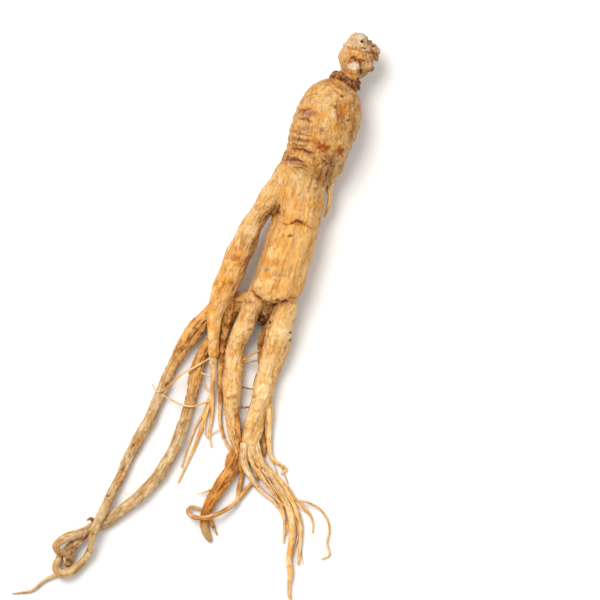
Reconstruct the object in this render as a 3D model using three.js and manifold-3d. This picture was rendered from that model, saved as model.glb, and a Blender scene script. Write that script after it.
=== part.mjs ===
// A whole ginseng root, fresh-dried, lying on a flat surface: a stout ringed body with a knobbly
// crown on its neck, one arm, two legs, two long entwined tails and a spray of fine rootlets.
// It grew as one piece, so it is one solid in one mesh.
// Millimetres, +Z up. The origin is the flat spot under the belly that the root rests on, and
// +Y runs along the body, from the legs to the crown.
import * as THREE from "three";
import { mergeVertices } from "three/addons/utils/BufferGeometryUtils.js";
import Module from "manifold-3d";

const wasm = await Module();
wasm.setup();

// The centre lines below are laid out as the root lies obliquely, and this turn brings its body
// in line with Y.
const BODY_LEAN = THREE.MathUtils.degToRad(16.5);

// Every row is one station of a centre line: x, y, height above the surface, and radius there.
const BODY = [
  [8.8, 28, 14.2, 5.9],
  [7.4, 24, 14.1, 10.0],
  [5.5, 14.7, 14.0, 14.0],
  [2, 4.8, 14.0, 14.4],
  [-1, -4, 13.6, 13.5],
  [-5.3, -12, 12.6, 12.1],
  [-7.8, -20.5, 12.2, 11.5],
  [-9.5, -30.5, 11.8, 11.0],
  [-11.5, -42, 11.7, 11.0],
  [-14.5, -52, 11.6, 11.0],
  [-17, -61, 11.6, 11.0],
  [-19.2, -66, 11.4, 10.6],
  [-20.3, -70, 11.2, 8.2],
];
const NECK = [
  [9, 24, 14.0, 6.3],
  [11, 26.5, 14.2, 7.0],
  [12.4, 28, 14.4, 7.3],
  [13.4, 30, 14.4, 5.2],
  [14.4, 32, 14.4, 4.0],
  [15.4, 34, 14.4, 4.9],
  [16.6, 37, 14.4, 7.0],
  [17.8, 40.5, 14.4, 7.9],
  [18.2, 43.8, 14.3, 7.0],
  [18.2, 46.5, 14.2, 5.2],
  [18.2, 48.8, 14.0, 2.8],
];
const ARM = [
  [-8, -12, 12.6, 7.6],
  [-14.5, -17, 13.4, 6.4],
  [-21, -24, 14.2, 5.3],
  [-24.4, -28.8, 14.0, 5.0],
  [-28.5, -35.7, 13.6, 5.0],
  [-32.2, -43, 13.3, 5.3],
  [-36.5, -52, 12.8, 5.8],
  [-40, -61, 12.4, 5.7],
  [-44, -70, 11.8, 4.2],
  [-46, -78, 10.6, 3.2],
  [-46.5, -87, 9.2, 2.7],
  [-46.5, -92.5, 8.2, 2.3],
];
const LEFT_LEG = [
  [-23, -63.5, 11.4, 6.3],
  [-27.5, -69, 10.6, 5.4],
  [-31.5, -74, 9.6, 5.1],
  [-34, -80.5, 8.2, 5.0],
  [-35.5, -86, 7.2, 4.8],
  [-37, -91.5, 6.3, 4.6],
  [-38, -98, 5.4, 4.5],
  [-38, -105, 4.4, 4.6],
  [-38.5, -111.5, 4.2, 4.4],
  [-38.5, -117.5, 3.8, 3.7],
  [-38, -123, 3.1, 2.8],
  [-37, -128, 2.6, 2.2],
  [-36, -133.5, 2.5, 2.2],
  [-36.5, -139, 2.9, 2.9],
  [-39, -146, 2.9, 3.1],
  [-43, -152, 2.8, 3.0],
  [-46.5, -157.5, 2.7, 2.7],
  [-49, -162.5, 2.6, 2.4],
  [-50.5, -166.5, 2.3, 2.1],
  [-50.5, -171, 2.1, 1.9],
  [-49, -175, 1.8, 1.6],
  [-48, -177, 1.6, 1.0],
];
const RIGHT_LEG = [
  [-16.5, -62.5, 11.2, 7.2],
  [-15, -69.5, 10.2, 6.3],
  [-16, -77, 8.8, 6.3],
  [-17.5, -84.5, 7.6, 6.3],
  [-19, -91.5, 6.9, 6.3],
  [-21, -100.5, 6.2, 6.4],
  [-23.5, -107, 6.0, 6.3],
  [-25.5, -114, 5.7, 5.9],
  [-27, -119.5, 5.4, 5.4],
  [-29, -126.5, 4.9, 4.7],
  [-30, -133, 4.0, 3.8],
  [-30, -138, 3.3, 3.0],
  [-29, -141, 2.9, 2.0],
];
const TAIL_A = [
  [-24, -66, 9.2, 4.0],
  [-31, -69, 7.0, 3.7],
  [-37.5, -69, 5.0, 3.6],
  [-44.5, -71.5, 3.8, 3.6],
  [-50.5, -77.5, 3.6, 3.7],
  [-55, -82.5, 3.6, 3.8],
  [-58, -87, 3.6, 3.6],
  [-61, -91.5, 3.2, 3.1],
  [-63.5, -96, 3.0, 2.8],
  [-69.3, -108.5, 2.8, 2.5],
  [-73, -117.5, 2.7, 2.5],
  [-76, -124, 2.7, 2.8],
  [-80, -131, 2.7, 2.7],
  [-84.5, -139.5, 2.6, 2.3],
  [-88.5, -148.5, 2.7, 2.3],
  [-93, -157.5, 4.0, 2.2],
  [-97, -166, 6.2, 2.0],
  [-99.5, -171, 7.0, 1.9],
  [-101, -176, 6.4, 1.8],
  [-101.5, -180.5, 5.0, 1.7],
  [-104, -185, 3.8, 1.8],
  [-107, -188, 3.8, 1.9],
  [-111, -191, 4.4, 2.0],
  [-115, -191.5, 4.7, 1.9],
  [-117, -189, 4.2, 1.8],
  [-116, -185.5, 3.2, 1.7],
  [-114.5, -182, 2.2, 1.5],
];
const TAIL_B = [
  [-27.5, -67, 8.4, 3.6],
  [-33.5, -69, 6.4, 3.0],
  [-37.5, -73, 4.4, 2.7],
  [-40, -79, 3.0, 2.5],
  [-44.5, -84, 2.6, 2.4],
  [-49, -88, 2.6, 2.4],
  [-52.5, -95.5, 2.8, 2.7],
  [-54.5, -102.5, 2.9, 3.0],
  [-57.2, -116, 2.8, 2.6],
  [-59.5, -123, 2.8, 2.6],
  [-61.5, -129.5, 2.8, 2.7],
  [-66, -139.5, 2.9, 2.9],
  [-69, -144.5, 2.9, 2.9],
  [-72.5, -149.5, 2.9, 2.8],
  [-78, -155.5, 2.9, 2.7],
  [-86.5, -162.5, 2.8, 2.7],
  [-91, -166, 2.6, 2.7],
  [-95.5, -169, 2.5, 2.6],
  [-100, -171, 2.5, 2.4],
  [-104.5, -173, 3.2, 2.2],
  [-109, -174.5, 5.0, 2.2],
  [-113.5, -176, 6.4, 2.1],
  [-117, -179, 6.6, 1.8],
  [-115.5, -182, 6.2, 1.5],
  [-112.5, -182.5, 5.0, 1.4],
  [-110.5, -185, 3.0, 1.2],
  [-112, -188.5, 1.5, 1.1],
  [-115.5, -191.5, 1.2, 1.0],
  [-122.5, -195, 1.1, 0.9],
  [-128, -199.5, 0.9, 0.7],
  [-133, -200.5, 0.7, 0.5],
  [-137, -201, 0.6, 0.4],
];
// Rootlets are rows of the same kind, thin enough to need few sides.
const ROOTLETS = {
  side_root: [
    [9, -5, 13.5, 2.9],
    [7.5, -8.5, 13.6, 2.4],
    [6.5, -13, 12.8, 1.9],
    [5.5, -18, 11.6, 1.4],
    [5.5, -23, 10.6, 1.2],
    [3.5, -31.5, 9.2, 0.7],
  ],
  arm_root: [
    [-46.5, -90.5, 8.6, 2.1],
    [-46.5, -96, 7.2, 1.7],
    [-46.5, -102.5, 5.2, 1.4],
    [-47, -109.5, 3.4, 1.3],
    [-47, -116, 2.0, 1.0],
    [-47.5, -123, 1.3, 0.8],
    [-48.5, -128.5, 1.0, 0.6],
    [-47.5, -135, 0.8, 0.5],
  ],
  arm_strand: [
    [-39.5, -63.5, 11.0, 2.7],
    [-40, -71, 9.0, 2.4],
    [-41, -80, 7.2, 2.2],
    [-42.5, -89, 5.4, 1.9],
    [-43, -98, 3.8, 1.6],
    [-43, -107, 2.4, 1.4],
    [-43, -115, 1.6, 1.0],
    [-42, -123, 1.2, 0.8],
    [-40, -131, 1.1, 0.7],
    [-36.5, -137.5, 1.6, 0.6],
  ],
  tail_knot: [
    [-105.5, -176, 4.8, 1.0],
    [-109.5, -179, 4.2, 2.2],
    [-111.5, -182.5, 3.6, 2.6],
    [-112, -187.5, 3.2, 1.9],
  ],
  arm_left_hair: [
    [-48.5, -113, 2.6, 0.7],
    [-50.5, -119, 1.6, 0.6],
    [-54, -124.5, 1.2, 0.5],
    [-57, -132, 0.9, 0.5],
    [-61, -144, 0.7, 0.4],
  ],
  arm_right_hair: [
    [-47.5, -112, 2.6, 0.9],
    [-49.5, -119, 1.7, 0.9],
    [-51.5, -125, 1.3, 0.9],
    [-54, -132, 1.1, 0.8],
    [-57, -139, 0.9, 0.7],
    [-62.5, -151, 0.7, 0.5],
  ],
  leg_strand: [
    [-38, -123, 2.6, 1.2],
    [-37, -130, 2.6, 1.1],
    [-34.5, -137, 3.2, 1.0],
    [-32, -143, 2.4, 0.9],
    [-29.5, -149, 1.6, 0.6],
    [-27.5, -153, 1.1, 0.5],
  ],
  leg_loop: [
    [-36, -135.5, 3.0, 1.4],
    [-34, -141.5, 2.4, 1.3],
    [-34, -147.5, 1.7, 1.2],
    [-35, -154, 1.6, 1.2],
    [-36, -159, 2.2, 1.1],
    [-39.5, -162, 3.6, 1.1],
    [-45, -165, 5.4, 1.1],
    [-51, -166.5, 6.0, 1.1],
    [-56, -166, 4.6, 1.0],
    [-58, -163.5, 3.2, 0.9],
    [-56.5, -162, 2.2, 0.9],
    [-51.5, -163, 1.8, 0.8],
  ],
  leg_spur: [
    [-29.5, -151.5, 1.3, 0.8],
    [-32.5, -155, 1.5, 1.1],
    [-35.5, -158.5, 1.8, 1.1],
  ],
  tip_spur: [
    [-50, -162, 2.2, 1.0],
    [-48.5, -166, 1.6, 1.0],
    [-47, -170, 1.2, 0.9],
    [-45, -174.5, 0.8, 0.5],
  ],
  foot_pale: [
    [-31.5, -130, 4.4, 2.0],
    [-33, -136.5, 3.6, 1.8],
    [-32.5, -142, 3.1, 1.7],
    [-30, -146.5, 2.8, 1.6],
    [-27.5, -151, 2.6, 1.4],
    [-25, -154.5, 2.2, 1.3],
    [-20, -158.5, 1.4, 0.5],
  ],
  foot_main: [
    [-28.5, -134.5, 3.6, 2.1],
    [-26.5, -141, 3.0, 1.8],
    [-23, -146, 2.8, 1.6],
    [-19, -151.5, 2.6, 1.5],
    [-15.5, -156.5, 2.4, 1.5],
    [-13, -161.5, 2.2, 1.5],
    [-11.5, -167.5, 2.0, 1.6],
    [-11, -173.5, 1.9, 1.7],
    [-12.5, -186, 1.7, 1.5],
    [-12, -191, 1.6, 1.4],
    [-12.5, -197, 1.3, 1.0],
    [-12.5, -201.5, 1.0, 0.8],
    [-11.5, -205, 0.7, 0.5],
  ],
  foot_under: [
    [-30, -135.5, 2.4, 1.4],
    [-29, -142.5, 1.6, 1.2],
    [-25, -148.5, 1.4, 1.1],
    [-20.5, -153, 1.3, 1.0],
    [-17, -159, 1.1, 0.9],
    [-14, -169, 0.9, 0.7],
    [-12, -174, 0.9, 0.5],
  ],
  foot_over: [
    [-27, -135.5, 4.4, 1.4],
    [-24, -142.5, 4.2, 1.2],
    [-19, -148, 4.0, 1.1],
    [-13.5, -154.5, 3.4, 1.0],
    [-10, -162, 2.4, 1.0],
    [-7.5, -169.5, 1.6, 1.0],
    [-7.5, -177.5, 1.3, 0.9],
    [-8.5, -187.5, 1.1, 0.7],
  ],
  foot_thin: [
    [-25, -142, 2.2, 0.9],
    [-19, -147.5, 2.0, 0.8],
    [-13.5, -153, 1.8, 0.8],
    [-9, -160, 1.5, 0.7],
    [-2.5, -166.5, 0.8, 0.4],
  ],
  foot_fork: [
    [-14, -153.5, 2.6, 0.6],
    [-9, -159, 2.2, 0.5],
    [-4, -164, 1.6, 0.5],
    [-2, -169, 1.0, 0.5],
    [-2, -173.5, 0.7, 0.4],
  ],
  foot_long_hair: [
    [-15, -154.5, 2.2, 0.6],
    [-9.5, -158.5, 3.0, 0.5],
    [-3.5, -160, 3.2, 0.5],
    [1.5, -163, 2.6, 0.5],
    [4.5, -167.5, 1.8, 0.5],
    [5.5, -172.5, 1.2, 0.5],
    [4.5, -178, 0.9, 0.5],
    [5.5, -183.5, 0.8, 0.5],
    [2, -185.5, 0.7, 0.4],
  ],
  calf_root: [
    [-22.5, -115, 4.8, 2.2],
    [-21.5, -122, 3.8, 1.7],
    [-21.5, -129, 2.8, 1.5],
    [-21, -135, 2.1, 1.3],
    [-19.5, -140, 1.7, 0.9],
    [-16, -142.5, 1.5, 0.7],
    [-13.5, -144.5, 1.3, 0.6],
    [-16, -147, 1.0, 0.5],
  ],
  calf_spur: [
    [-25, -127.5, 2.8, 1.5],
    [-23.5, -134, 1.7, 1.1],
    [-24.5, -140, 1.2, 0.8],
    [-24.5, -144.5, 0.9, 0.5],
  ],
};
// Buds and old stem scars on the neck: centre, then half sizes along x, y and z.
const BUDS = [
  [7.2, 29.4, 15.2, 2.4, 1.8, 2.6],
  [12, 29.5, 18.6, 2.4, 2.0, 2.2],
  [17.5, 26.5, 15.0, 2.6, 2.2, 2.6],
  [18.6, 28.3, 11.6, 2.0, 2.0, 2.4],
  [11, 30.4, 9.6, 2.8, 2.2, 2.2],
  [22.6, 35.5, 15.0, 2.4, 2.4, 3.0],
  [25.2, 41.5, 13.8, 2.2, 3.4, 2.6],
  [12.6, 37.6, 16.0, 3.0, 3.2, 3.0],
  [19.6, 42, 19.4, 3.2, 3.0, 2.4],
  [18, 39, 8.6, 3.6, 3.2, 2.4],
  [20.6, 45.5, 16.2, 2.6, 3.0, 2.4],
];

// The rings round the upper body: the stretch that has them, measured from the shoulder, over what
// length they fade in and out, how far apart and how deep they are, and how far they wander.
const RINGS = { from: 8, to: 52, fade: 9, pitch: 4.8, depth: 0.5, wander: 0.9 };
// The lengthwise folds of the lower body: where they fade in, how many there are, how deep, and
// the length over which they sway.
const FOLDS = { from: 40, to: 60, count: 9, depth: 0.4, sway: 14 };
const LUMP = 0.05; // unevenness of a limb, as a share of its radius
const BODY_LUMP = 0.02;
const SCALE = 0.06; // roughness of the crown, as a share of its radius
const TIP_REACH = 0.7; // how far an end rounds over, as a share of its radius
const STOUT = 1.8; // a rootlet at least this thick at its base has more sides
const STOUT_SIDES = 6;
const FINE_SIDES = 5;
const ROOTLET_SPACING = 4.2;
const BUD_FACES = [7, 5];
const CUT_SIZE = 600; // the block that cuts the resting spots flat
const CUT_DEPTH = 20;
const MERGE_DISTANCE = 1e-4;

// Every limb's centre line, the sides round it, the distance between its sections and its skin.
const LIMBS = [
  { rows: BODY, sides: 22, spacing: (along) => (along < RINGS.to ? 1.2 : 3.4), skin: bodySkin },
  { rows: NECK, sides: 14, spacing: () => 2.2, skin: crownSkin },
  { rows: ARM, sides: 11, spacing: () => 3.6, skin: limbSkin },
  { rows: LEFT_LEG, sides: 10, spacing: () => 3.6, skin: limbSkin },
  { rows: RIGHT_LEG, sides: 13, spacing: () => 3.6, skin: limbSkin },
  { rows: TAIL_A, sides: 8, spacing: () => 3.6, skin: limbSkin },
  { rows: TAIL_B, sides: 8, spacing: () => 3.6, skin: limbSkin },
  ...Object.values(ROOTLETS).map((rows) => ({
    rows,
    sides: rows[0][3] < STOUT ? FINE_SIDES : STOUT_SIDES,
    spacing: () => ROOTLET_SPACING,
    skin: () => 0,
  })),
];

// Tight rings round the upper body, whose swellings meet in creases, and folds down the lower.
function bodySkin(along, angle, radius) {
  const { smoothstep } = THREE.MathUtils;
  const ringed =
    smoothstep(along, RINGS.from, RINGS.from + RINGS.fade) *
    (1 - smoothstep(along, RINGS.to - RINGS.fade, RINGS.to));
  const wandered = along + RINGS.wander * Math.sin(2 * angle + 1);
  const ring = Math.abs(Math.sin((Math.PI * wandered) / RINGS.pitch)) - 0.6;
  const folded = smoothstep(along, FOLDS.from, FOLDS.to);
  const fold = Math.cos(FOLDS.count * angle + 1.5 * Math.sin(along / FOLDS.sway));
  const lump = Math.sin(along / 7 + 2 * angle);
  return RINGS.depth * ringed * ring + FOLDS.depth * folded * fold + BODY_LUMP * radius * lump;
}

// The slow swells of a leg or a tail.
function limbSkin(along, angle, radius) {
  return LUMP * radius * (Math.sin(along / 5 + 2 * angle) + Math.sin(along / 2.3 - 3 * angle));
}

// The scars and scales stacked round the crown.
function crownSkin(along, angle, radius) {
  return SCALE * radius * (Math.sin(5 * angle + along) + 0.7 * Math.cos(2.2 * along - 2 * angle));
}

// Where a limb's sections stand, as shares of its length.
function sectionShares(length, spacing) {
  const stops = [0];
  while (stops.at(-1) < length) stops.push(stops.at(-1) + spacing(stops.at(-1)));
  return stops.map((stop) => stop / stops.at(-1));
}

// A closed tube along the rows, round but for its skin's relief. Each section stands square to the
// line, with angle 0 to one side and a quarter turn later straight up.
function limb({ rows, sides, spacing, skin }) {
  const stations = rows.map(([x, y, z]) => new THREE.Vector3(x, y, z));
  const line = new THREE.CatmullRomCurve3(stations, false, "centripetal");
  const radii = new THREE.SplineCurve(rows.map((row, i) => new THREE.Vector2(i, row[3])));
  const length = line.getLength();
  const shares = sectionShares(length, spacing);
  const last = shares.length - 1;
  const position = [];
  const index = [];
  const ends = [];
  shares.forEach((share, i) => {
    const t = line.getUtoTmapping(share);
    const centre = line.getPoint(t);
    const forward = line.getTangent(t);
    const side = new THREE.Vector3(0, 0, -1).cross(forward).normalize();
    const up = side.clone().cross(forward);
    const radius = radii.getPoint(t).y;
    for (let j = 0; j < sides; j++) {
      const angle = (2 * Math.PI * j) / sides;
      const reach = radius + skin(share * length, angle, radius);
      const point = centre.clone();
      point.addScaledVector(side, reach * Math.cos(angle));
      point.addScaledVector(up, reach * Math.sin(angle));
      position.push(point.x, point.y, point.z);
    }
    if (i === 0) ends.push(centre.clone().addScaledVector(forward, -TIP_REACH * radius));
    if (i === last) ends.push(centre.clone().addScaledVector(forward, TIP_REACH * radius));
  });
  const tip = shares.length * sides;
  ends.forEach((end) => position.push(end.x, end.y, end.z));
  for (let j = 0; j < sides; j++) {
    const next = (j + 1) % sides;
    for (let i = 0; i < last; i++) {
      const [a, b] = [i * sides + j, (i + 1) * sides + j];
      const [c, d] = [(i + 1) * sides + next, i * sides + next];
      index.push(a, b, c, a, c, d);
    }
    index.push(tip, j, next, tip + 1, last * sides + next, last * sides + j);
  }
  const made = new THREE.BufferGeometry();
  made.setAttribute("position", new THREE.Float32BufferAttribute(position, 3));
  return made.setIndex(index);
}

function bud([x, y, z, rx, ry, rz]) {
  return new THREE.SphereGeometry(1, ...BUD_FACES).scale(rx, ry, rz).translate(x, y, z);
}

// A closed geometry as a solid that can be joined and cut.
function solid(geometry) {
  const bare = geometry.clone().deleteAttribute("normal").deleteAttribute("uv");
  const merged = mergeVertices(bare, MERGE_DISTANCE);
  return new wasm.Manifold(
    new wasm.Mesh({
      numProp: 3,
      vertProperties: new Float32Array(merged.attributes.position.array),
      triVerts: new Uint32Array(merged.index.array),
    }),
  );
}

// The outermost skin of a solid, so a pocket shut in between crossing strands is filled.
function filled(made) {
  return made.decompose().reduce((most, shell) => (shell.volume() > most.volume() ? shell : most));
}

// All the limbs and buds grown together, and cut flat where the root rests on the surface.
function growRoot() {
  const pieces = [...LIMBS.map(limb), ...BUDS.map(bud)];
  const whole = pieces.map(solid).reduce((joined, piece) => joined.add(piece));
  const block = new THREE.BoxGeometry(CUT_SIZE, CUT_SIZE, CUT_DEPTH);
  return filled(whole.subtract(solid(block.translate(0, 0, -CUT_DEPTH / 2))));
}

function geometryOf(made) {
  const { vertProperties, triVerts } = made.getMesh();
  const geometry = new THREE.BufferGeometry();
  geometry.setAttribute("position", new THREE.BufferAttribute(vertProperties, 3));
  geometry.setIndex(new THREE.BufferAttribute(triVerts, 1));
  geometry.computeVertexNormals();
  return geometry;
}

const root = new THREE.Mesh(
  geometryOf(growRoot()),
  new THREE.MeshStandardMaterial({ color: 0xe3b678, roughness: 0.7, metalness: 0 }),
);
root.name = "ginseng_root";

const part = new THREE.Group();
part.add(root);
part.rotation.z = BODY_LEAN;

export default part;
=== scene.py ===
"""The skin, crown, tails, rootlets and hairs of a ginseng root, dressed round its solid."""
import math

import bpy
import numpy as np
from bpy.props import FloatProperty, FloatVectorProperty, PointerProperty
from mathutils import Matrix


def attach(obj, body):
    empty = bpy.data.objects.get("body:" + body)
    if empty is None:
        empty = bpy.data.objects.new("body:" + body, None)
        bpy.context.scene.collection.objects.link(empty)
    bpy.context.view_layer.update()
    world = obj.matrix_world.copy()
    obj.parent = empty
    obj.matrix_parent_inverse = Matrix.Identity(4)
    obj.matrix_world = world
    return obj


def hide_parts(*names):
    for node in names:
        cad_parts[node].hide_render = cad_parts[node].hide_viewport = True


bl_info = {
    "name": "Ginseng Root",
    "version": (1, 0, 0),
    "blender": (4, 5, 0),
    "location": "View3D > Sidebar > Ginseng",
    "description": "Grows the skin, crown, tails and rootlets of a ginseng root",
    "category": "Add Mesh",
}

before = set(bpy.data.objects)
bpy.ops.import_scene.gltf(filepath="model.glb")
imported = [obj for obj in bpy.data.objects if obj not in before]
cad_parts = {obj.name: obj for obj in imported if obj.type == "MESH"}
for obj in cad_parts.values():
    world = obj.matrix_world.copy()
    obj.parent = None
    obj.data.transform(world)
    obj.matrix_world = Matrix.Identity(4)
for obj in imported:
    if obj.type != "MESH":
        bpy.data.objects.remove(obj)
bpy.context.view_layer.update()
ROOT_NODE = "ginseng_root"
BODY_NAME = "root"

# The centre lines are laid out in millimetres as the root lies obliquely. This turn brings its
# body in line with Y, and this scale gives metres.
BODY_LEAN = math.radians(16.5)
MM = 0.001

# Every row is one station of a centre line: x, y, height above the surface, and radius there.
BODY = [
    (8.8, 28, 14.2, 5.9), (7.4, 24, 14.1, 10.0), (5.5, 14.7, 14.0, 14.0), (2, 4.8, 14.0, 14.4),
    (-1.1, -4, 13.6, 13.1), (-5.5, -12, 12.6, 11.4), (-7.8, -20.5, 12.2, 11.3), (-9.3, -30.5, 11.8, 10.9),
    (-10.2, -36.5, 11.7, 10.4), (-11.7, -42.5, 11.7, 11.0), (-14.4, -52, 11.6, 11.0), (-17, -61, 11.6, 11.0),
    (-19.2, -66, 11.4, 10.6), (-20.3, -70, 11.2, 8.2),
]
# The body's two ends, as lines in the layout: the shoulder that it stops short of above, and the
# hips that it stops short of below.
SHOULDER_EDGE = [
    (-14, 12), (-9, 18.5), (-7.2, 22), (-4.9, 25.4), (-2.6, 27.4), (1.2, 28.8), (4.4, 29.7), (8, 29.8),
    (12, 28.6), (16, 26.2), (18.4, 24.2), (21, 20),
]
HIP_EDGE = [
    (-34, -62), (-30, -65.3), (-27, -67.6), (-24, -69.6), (-21.5, -70.6), (-19.5, -70.2),
    (-17, -69.4), (-13.5, -69.6), (-10, -68.8), (-7, -67.4), (-4, -65),
]
# A rough stub between the legs: its centre, then its half sizes along x, y and z.
HIP_STUBS = [
    (-21.8, -71.2, 9.6, 3.1, 3.4, 3.4), (-22.2, -73.8, 8.8, 2.4, 1.9, 2.4), (-19.9, -72.2, 9.6, 1.2, 1.5, 2.0),
    (-23.6, -71.8, 10.6, 1.1, 1.3, 1.7), (-20.9, -74.0, 9.6, 1.0, 0.9, 1.4), (-23.4, -74.4, 9.6, 0.8, 1.0, 1.3),
    (-21.7, -71.8, 12.4, 1.2, 1.1, 1.2), (-22.5, -74.9, 10.4, 0.9, 0.8, 1.0),
    # The last two rows are a low mass under the stub, painted dark as a stand-in for the deep shade in the gap
    # between the legs.
    (-23.9, -76.8, 5.2, 2.9, 3.7, 3.1), (-25.0, -79.2, 4.6, 1.7, 2.0, 2.2),
]
# The swelling that the side root grows out of, laid out the same way.
SIDE_BASE = [(9.2, -9.5, 12.6, 2.6, 3.2, 3.0), (7.4, -13.8, 12.1, 1.7, 3.4, 2.0)]
NECK = [
    (10.6, 24.5, 14.2, 5.0), (12.2, 27.8, 14.3, 5.2), (13.5, 30.4, 14.4, 4.3), (14.9, 32.3, 14.4, 4.0),
    (16.1, 34.1, 14.4, 5.2), (17.1, 36.5, 14.4, 6.8), (17.6, 39.6, 14.4, 7.4), (17.9, 42.5, 14.3, 6.2),
    (18.4, 45.3, 14.2, 4.8), (18.9, 47.4, 14.0, 2.8),
]
ARM = [
    (-8, -12, 12.6, 7.6), (-14.5, -17, 13.4, 6.4), (-21, -24, 14.2, 5.3), (-24.6, -28.6, 14.0, 4.7),
    (-28.8, -35.5, 13.6, 4.65), (-32.2, -43, 13.3, 5.3), (-36.5, -52, 12.8, 5.8), (-40, -61, 12.4, 5.7),
    (-44, -70, 11.8, 4.2), (-46, -78, 10.6, 3.2), (-46.3, -87, 9.2, 2.9), (-46.2, -92.3, 8.2, 2.5),
]
LEFT_LEG = [
    (-23, -63.5, 11.8, 6.0), (-27.3, -69, 11.2, 4.7), (-29.9, -73, 10.0, 4.2), (-31.1, -77, 9.1, 4.3),
    (-32.4, -80.2, 8.3, 4.6), (-34.2, -83.6, 7.7, 4.6), (-35.7, -87.5, 6.9, 4.35), (-36.6, -91.2, 6.2, 4.2),
    (-37.2, -95.5, 5.5, 4.1), (-37.7, -102, 4.6, 4.25), (-38.3, -111, 4.2, 4.3), (-38.4, -117.5, 3.8, 3.65),
    (-38, -123, 3.1, 2.8), (-37, -128, 2.6, 2.2),
]
RIGHT_LEG = [
    (-15.5, -62.5, 12.4, 6.4), (-13.5, -69.5, 12.2, 4.5), (-14.4, -73.8, 10.9, 5.1), (-15.4, -77.2, 9.8, 5.6),
    (-16.6, -81.5, 8.8, 6.0), (-17.6, -86.2, 7.8, 6.3), (-18.3, -91, 7.0, 6.0), (-19.8, -95.3, 6.2, 5.35),
    (-21.6, -99.5, 5.4, 4.85), (-22.7, -104, 5.0, 4.8), (-24.1, -109, 4.9, 4.9), (-25.5, -115, 4.7, 4.6),
    (-26.9, -120, 4.5, 4.3), (-28.8, -127, 4.4, 4.3), (-30, -133, 4.0, 3.8), (-30, -138, 3.3, 3.0),
    (-29, -141, 2.9, 2.0),
]
LEG_TAIL = [
    (-38.5, -117.5, 3.8, 3.2), (-38, -123, 3.1, 2.8), (-37, -128, 2.6, 2.3), (-36, -133.5, 2.5, 2.3),
    (-36.5, -139, 2.9, 2.9), (-39, -146, 2.9, 3.1), (-43, -152, 2.8, 3.0), (-46.5, -157.5, 2.7, 2.7),
    (-49, -162.5, 2.6, 2.4), (-50.5, -166.5, 2.3, 2.1), (-50.5, -171, 2.1, 1.9), (-49, -175, 1.8, 1.6),
    (-48, -177, 1.6, 1.0),
]
TAIL_A = [
    (-24, -66, 9.2, 4.0), (-31, -69, 7.0, 3.7), (-37.5, -69, 5.0, 3.6), (-44.5, -71.5, 3.8, 3.6),
    (-50.5, -77.5, 3.6, 3.7), (-55, -82.5, 3.6, 3.8), (-58, -87, 3.6, 3.6), (-61, -91.5, 3.2, 3.1),
    (-63.5, -96, 3.0, 2.8), (-69.3, -108.5, 2.8, 2.5), (-73, -117.5, 2.7, 2.5), (-76, -124, 2.7, 2.8),
    (-80, -131, 2.7, 2.7), (-84.5, -139.5, 2.6, 2.3), (-88.5, -148.5, 2.7, 2.3), (-93, -157.5, 4.0, 2.2),
    (-97, -166, 6.2, 2.0), (-99.5, -171, 7.0, 1.9), (-101, -176, 6.4, 1.8), (-101.5, -180.5, 5.0, 1.7),
    (-104, -185, 3.8, 1.8), (-107, -188, 3.8, 1.9), (-111, -191, 4.4, 2.0), (-115, -191.5, 4.7, 1.9),
    (-117, -189, 4.2, 1.8), (-116, -185.5, 3.2, 1.7), (-114.5, -182, 2.2, 1.5),
]
TAIL_B = [
    (-27.5, -67, 8.4, 3.6), (-33.5, -69, 6.4, 3.0), (-37.5, -73, 4.4, 2.7), (-40, -79, 3.0, 2.5),
    (-44.5, -84, 2.6, 2.4), (-49, -88, 2.6, 2.4), (-52.5, -95.5, 2.8, 2.7), (-54.5, -102.5, 2.9, 3.0),
    (-57.2, -116, 2.8, 2.6), (-59.5, -123, 2.8, 2.6), (-61.5, -129.5, 2.8, 2.7), (-66, -139.5, 2.9, 2.9),
    (-69, -144.5, 2.9, 2.9), (-72.5, -149.5, 2.9, 2.8), (-78, -155.5, 2.9, 2.7), (-86.5, -162.5, 2.8, 2.7),
    (-91, -166, 2.6, 2.7), (-95.5, -169, 2.5, 2.6), (-100, -171, 2.5, 2.4), (-104.5, -173, 3.2, 2.2),
    (-109, -174.5, 5.0, 2.2), (-113.5, -176, 6.4, 2.1), (-117, -179, 6.6, 1.8), (-115.5, -182, 6.2, 1.5),
    (-112.5, -182.5, 5.0, 1.4), (-110.5, -185, 3.0, 1.2), (-112, -188.5, 1.5, 1.1), (-115.5, -191.5, 1.2, 1.0),
    (-122.5, -195, 1.1, 0.9), (-128, -199.5, 0.9, 0.7), (-133, -200.5, 0.7, 0.5), (-137, -201, 0.6, 0.3),
]
TAIL_KNOT = [
    (-102.6, -172.6, 3.4, 1.4), (-105.8, -176, 4.6, 1.5), (-109.5, -179, 4.2, 2.2),
    (-111.5, -182.5, 3.6, 2.6), (-112, -187.5, 3.2, 1.9),
]
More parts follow.
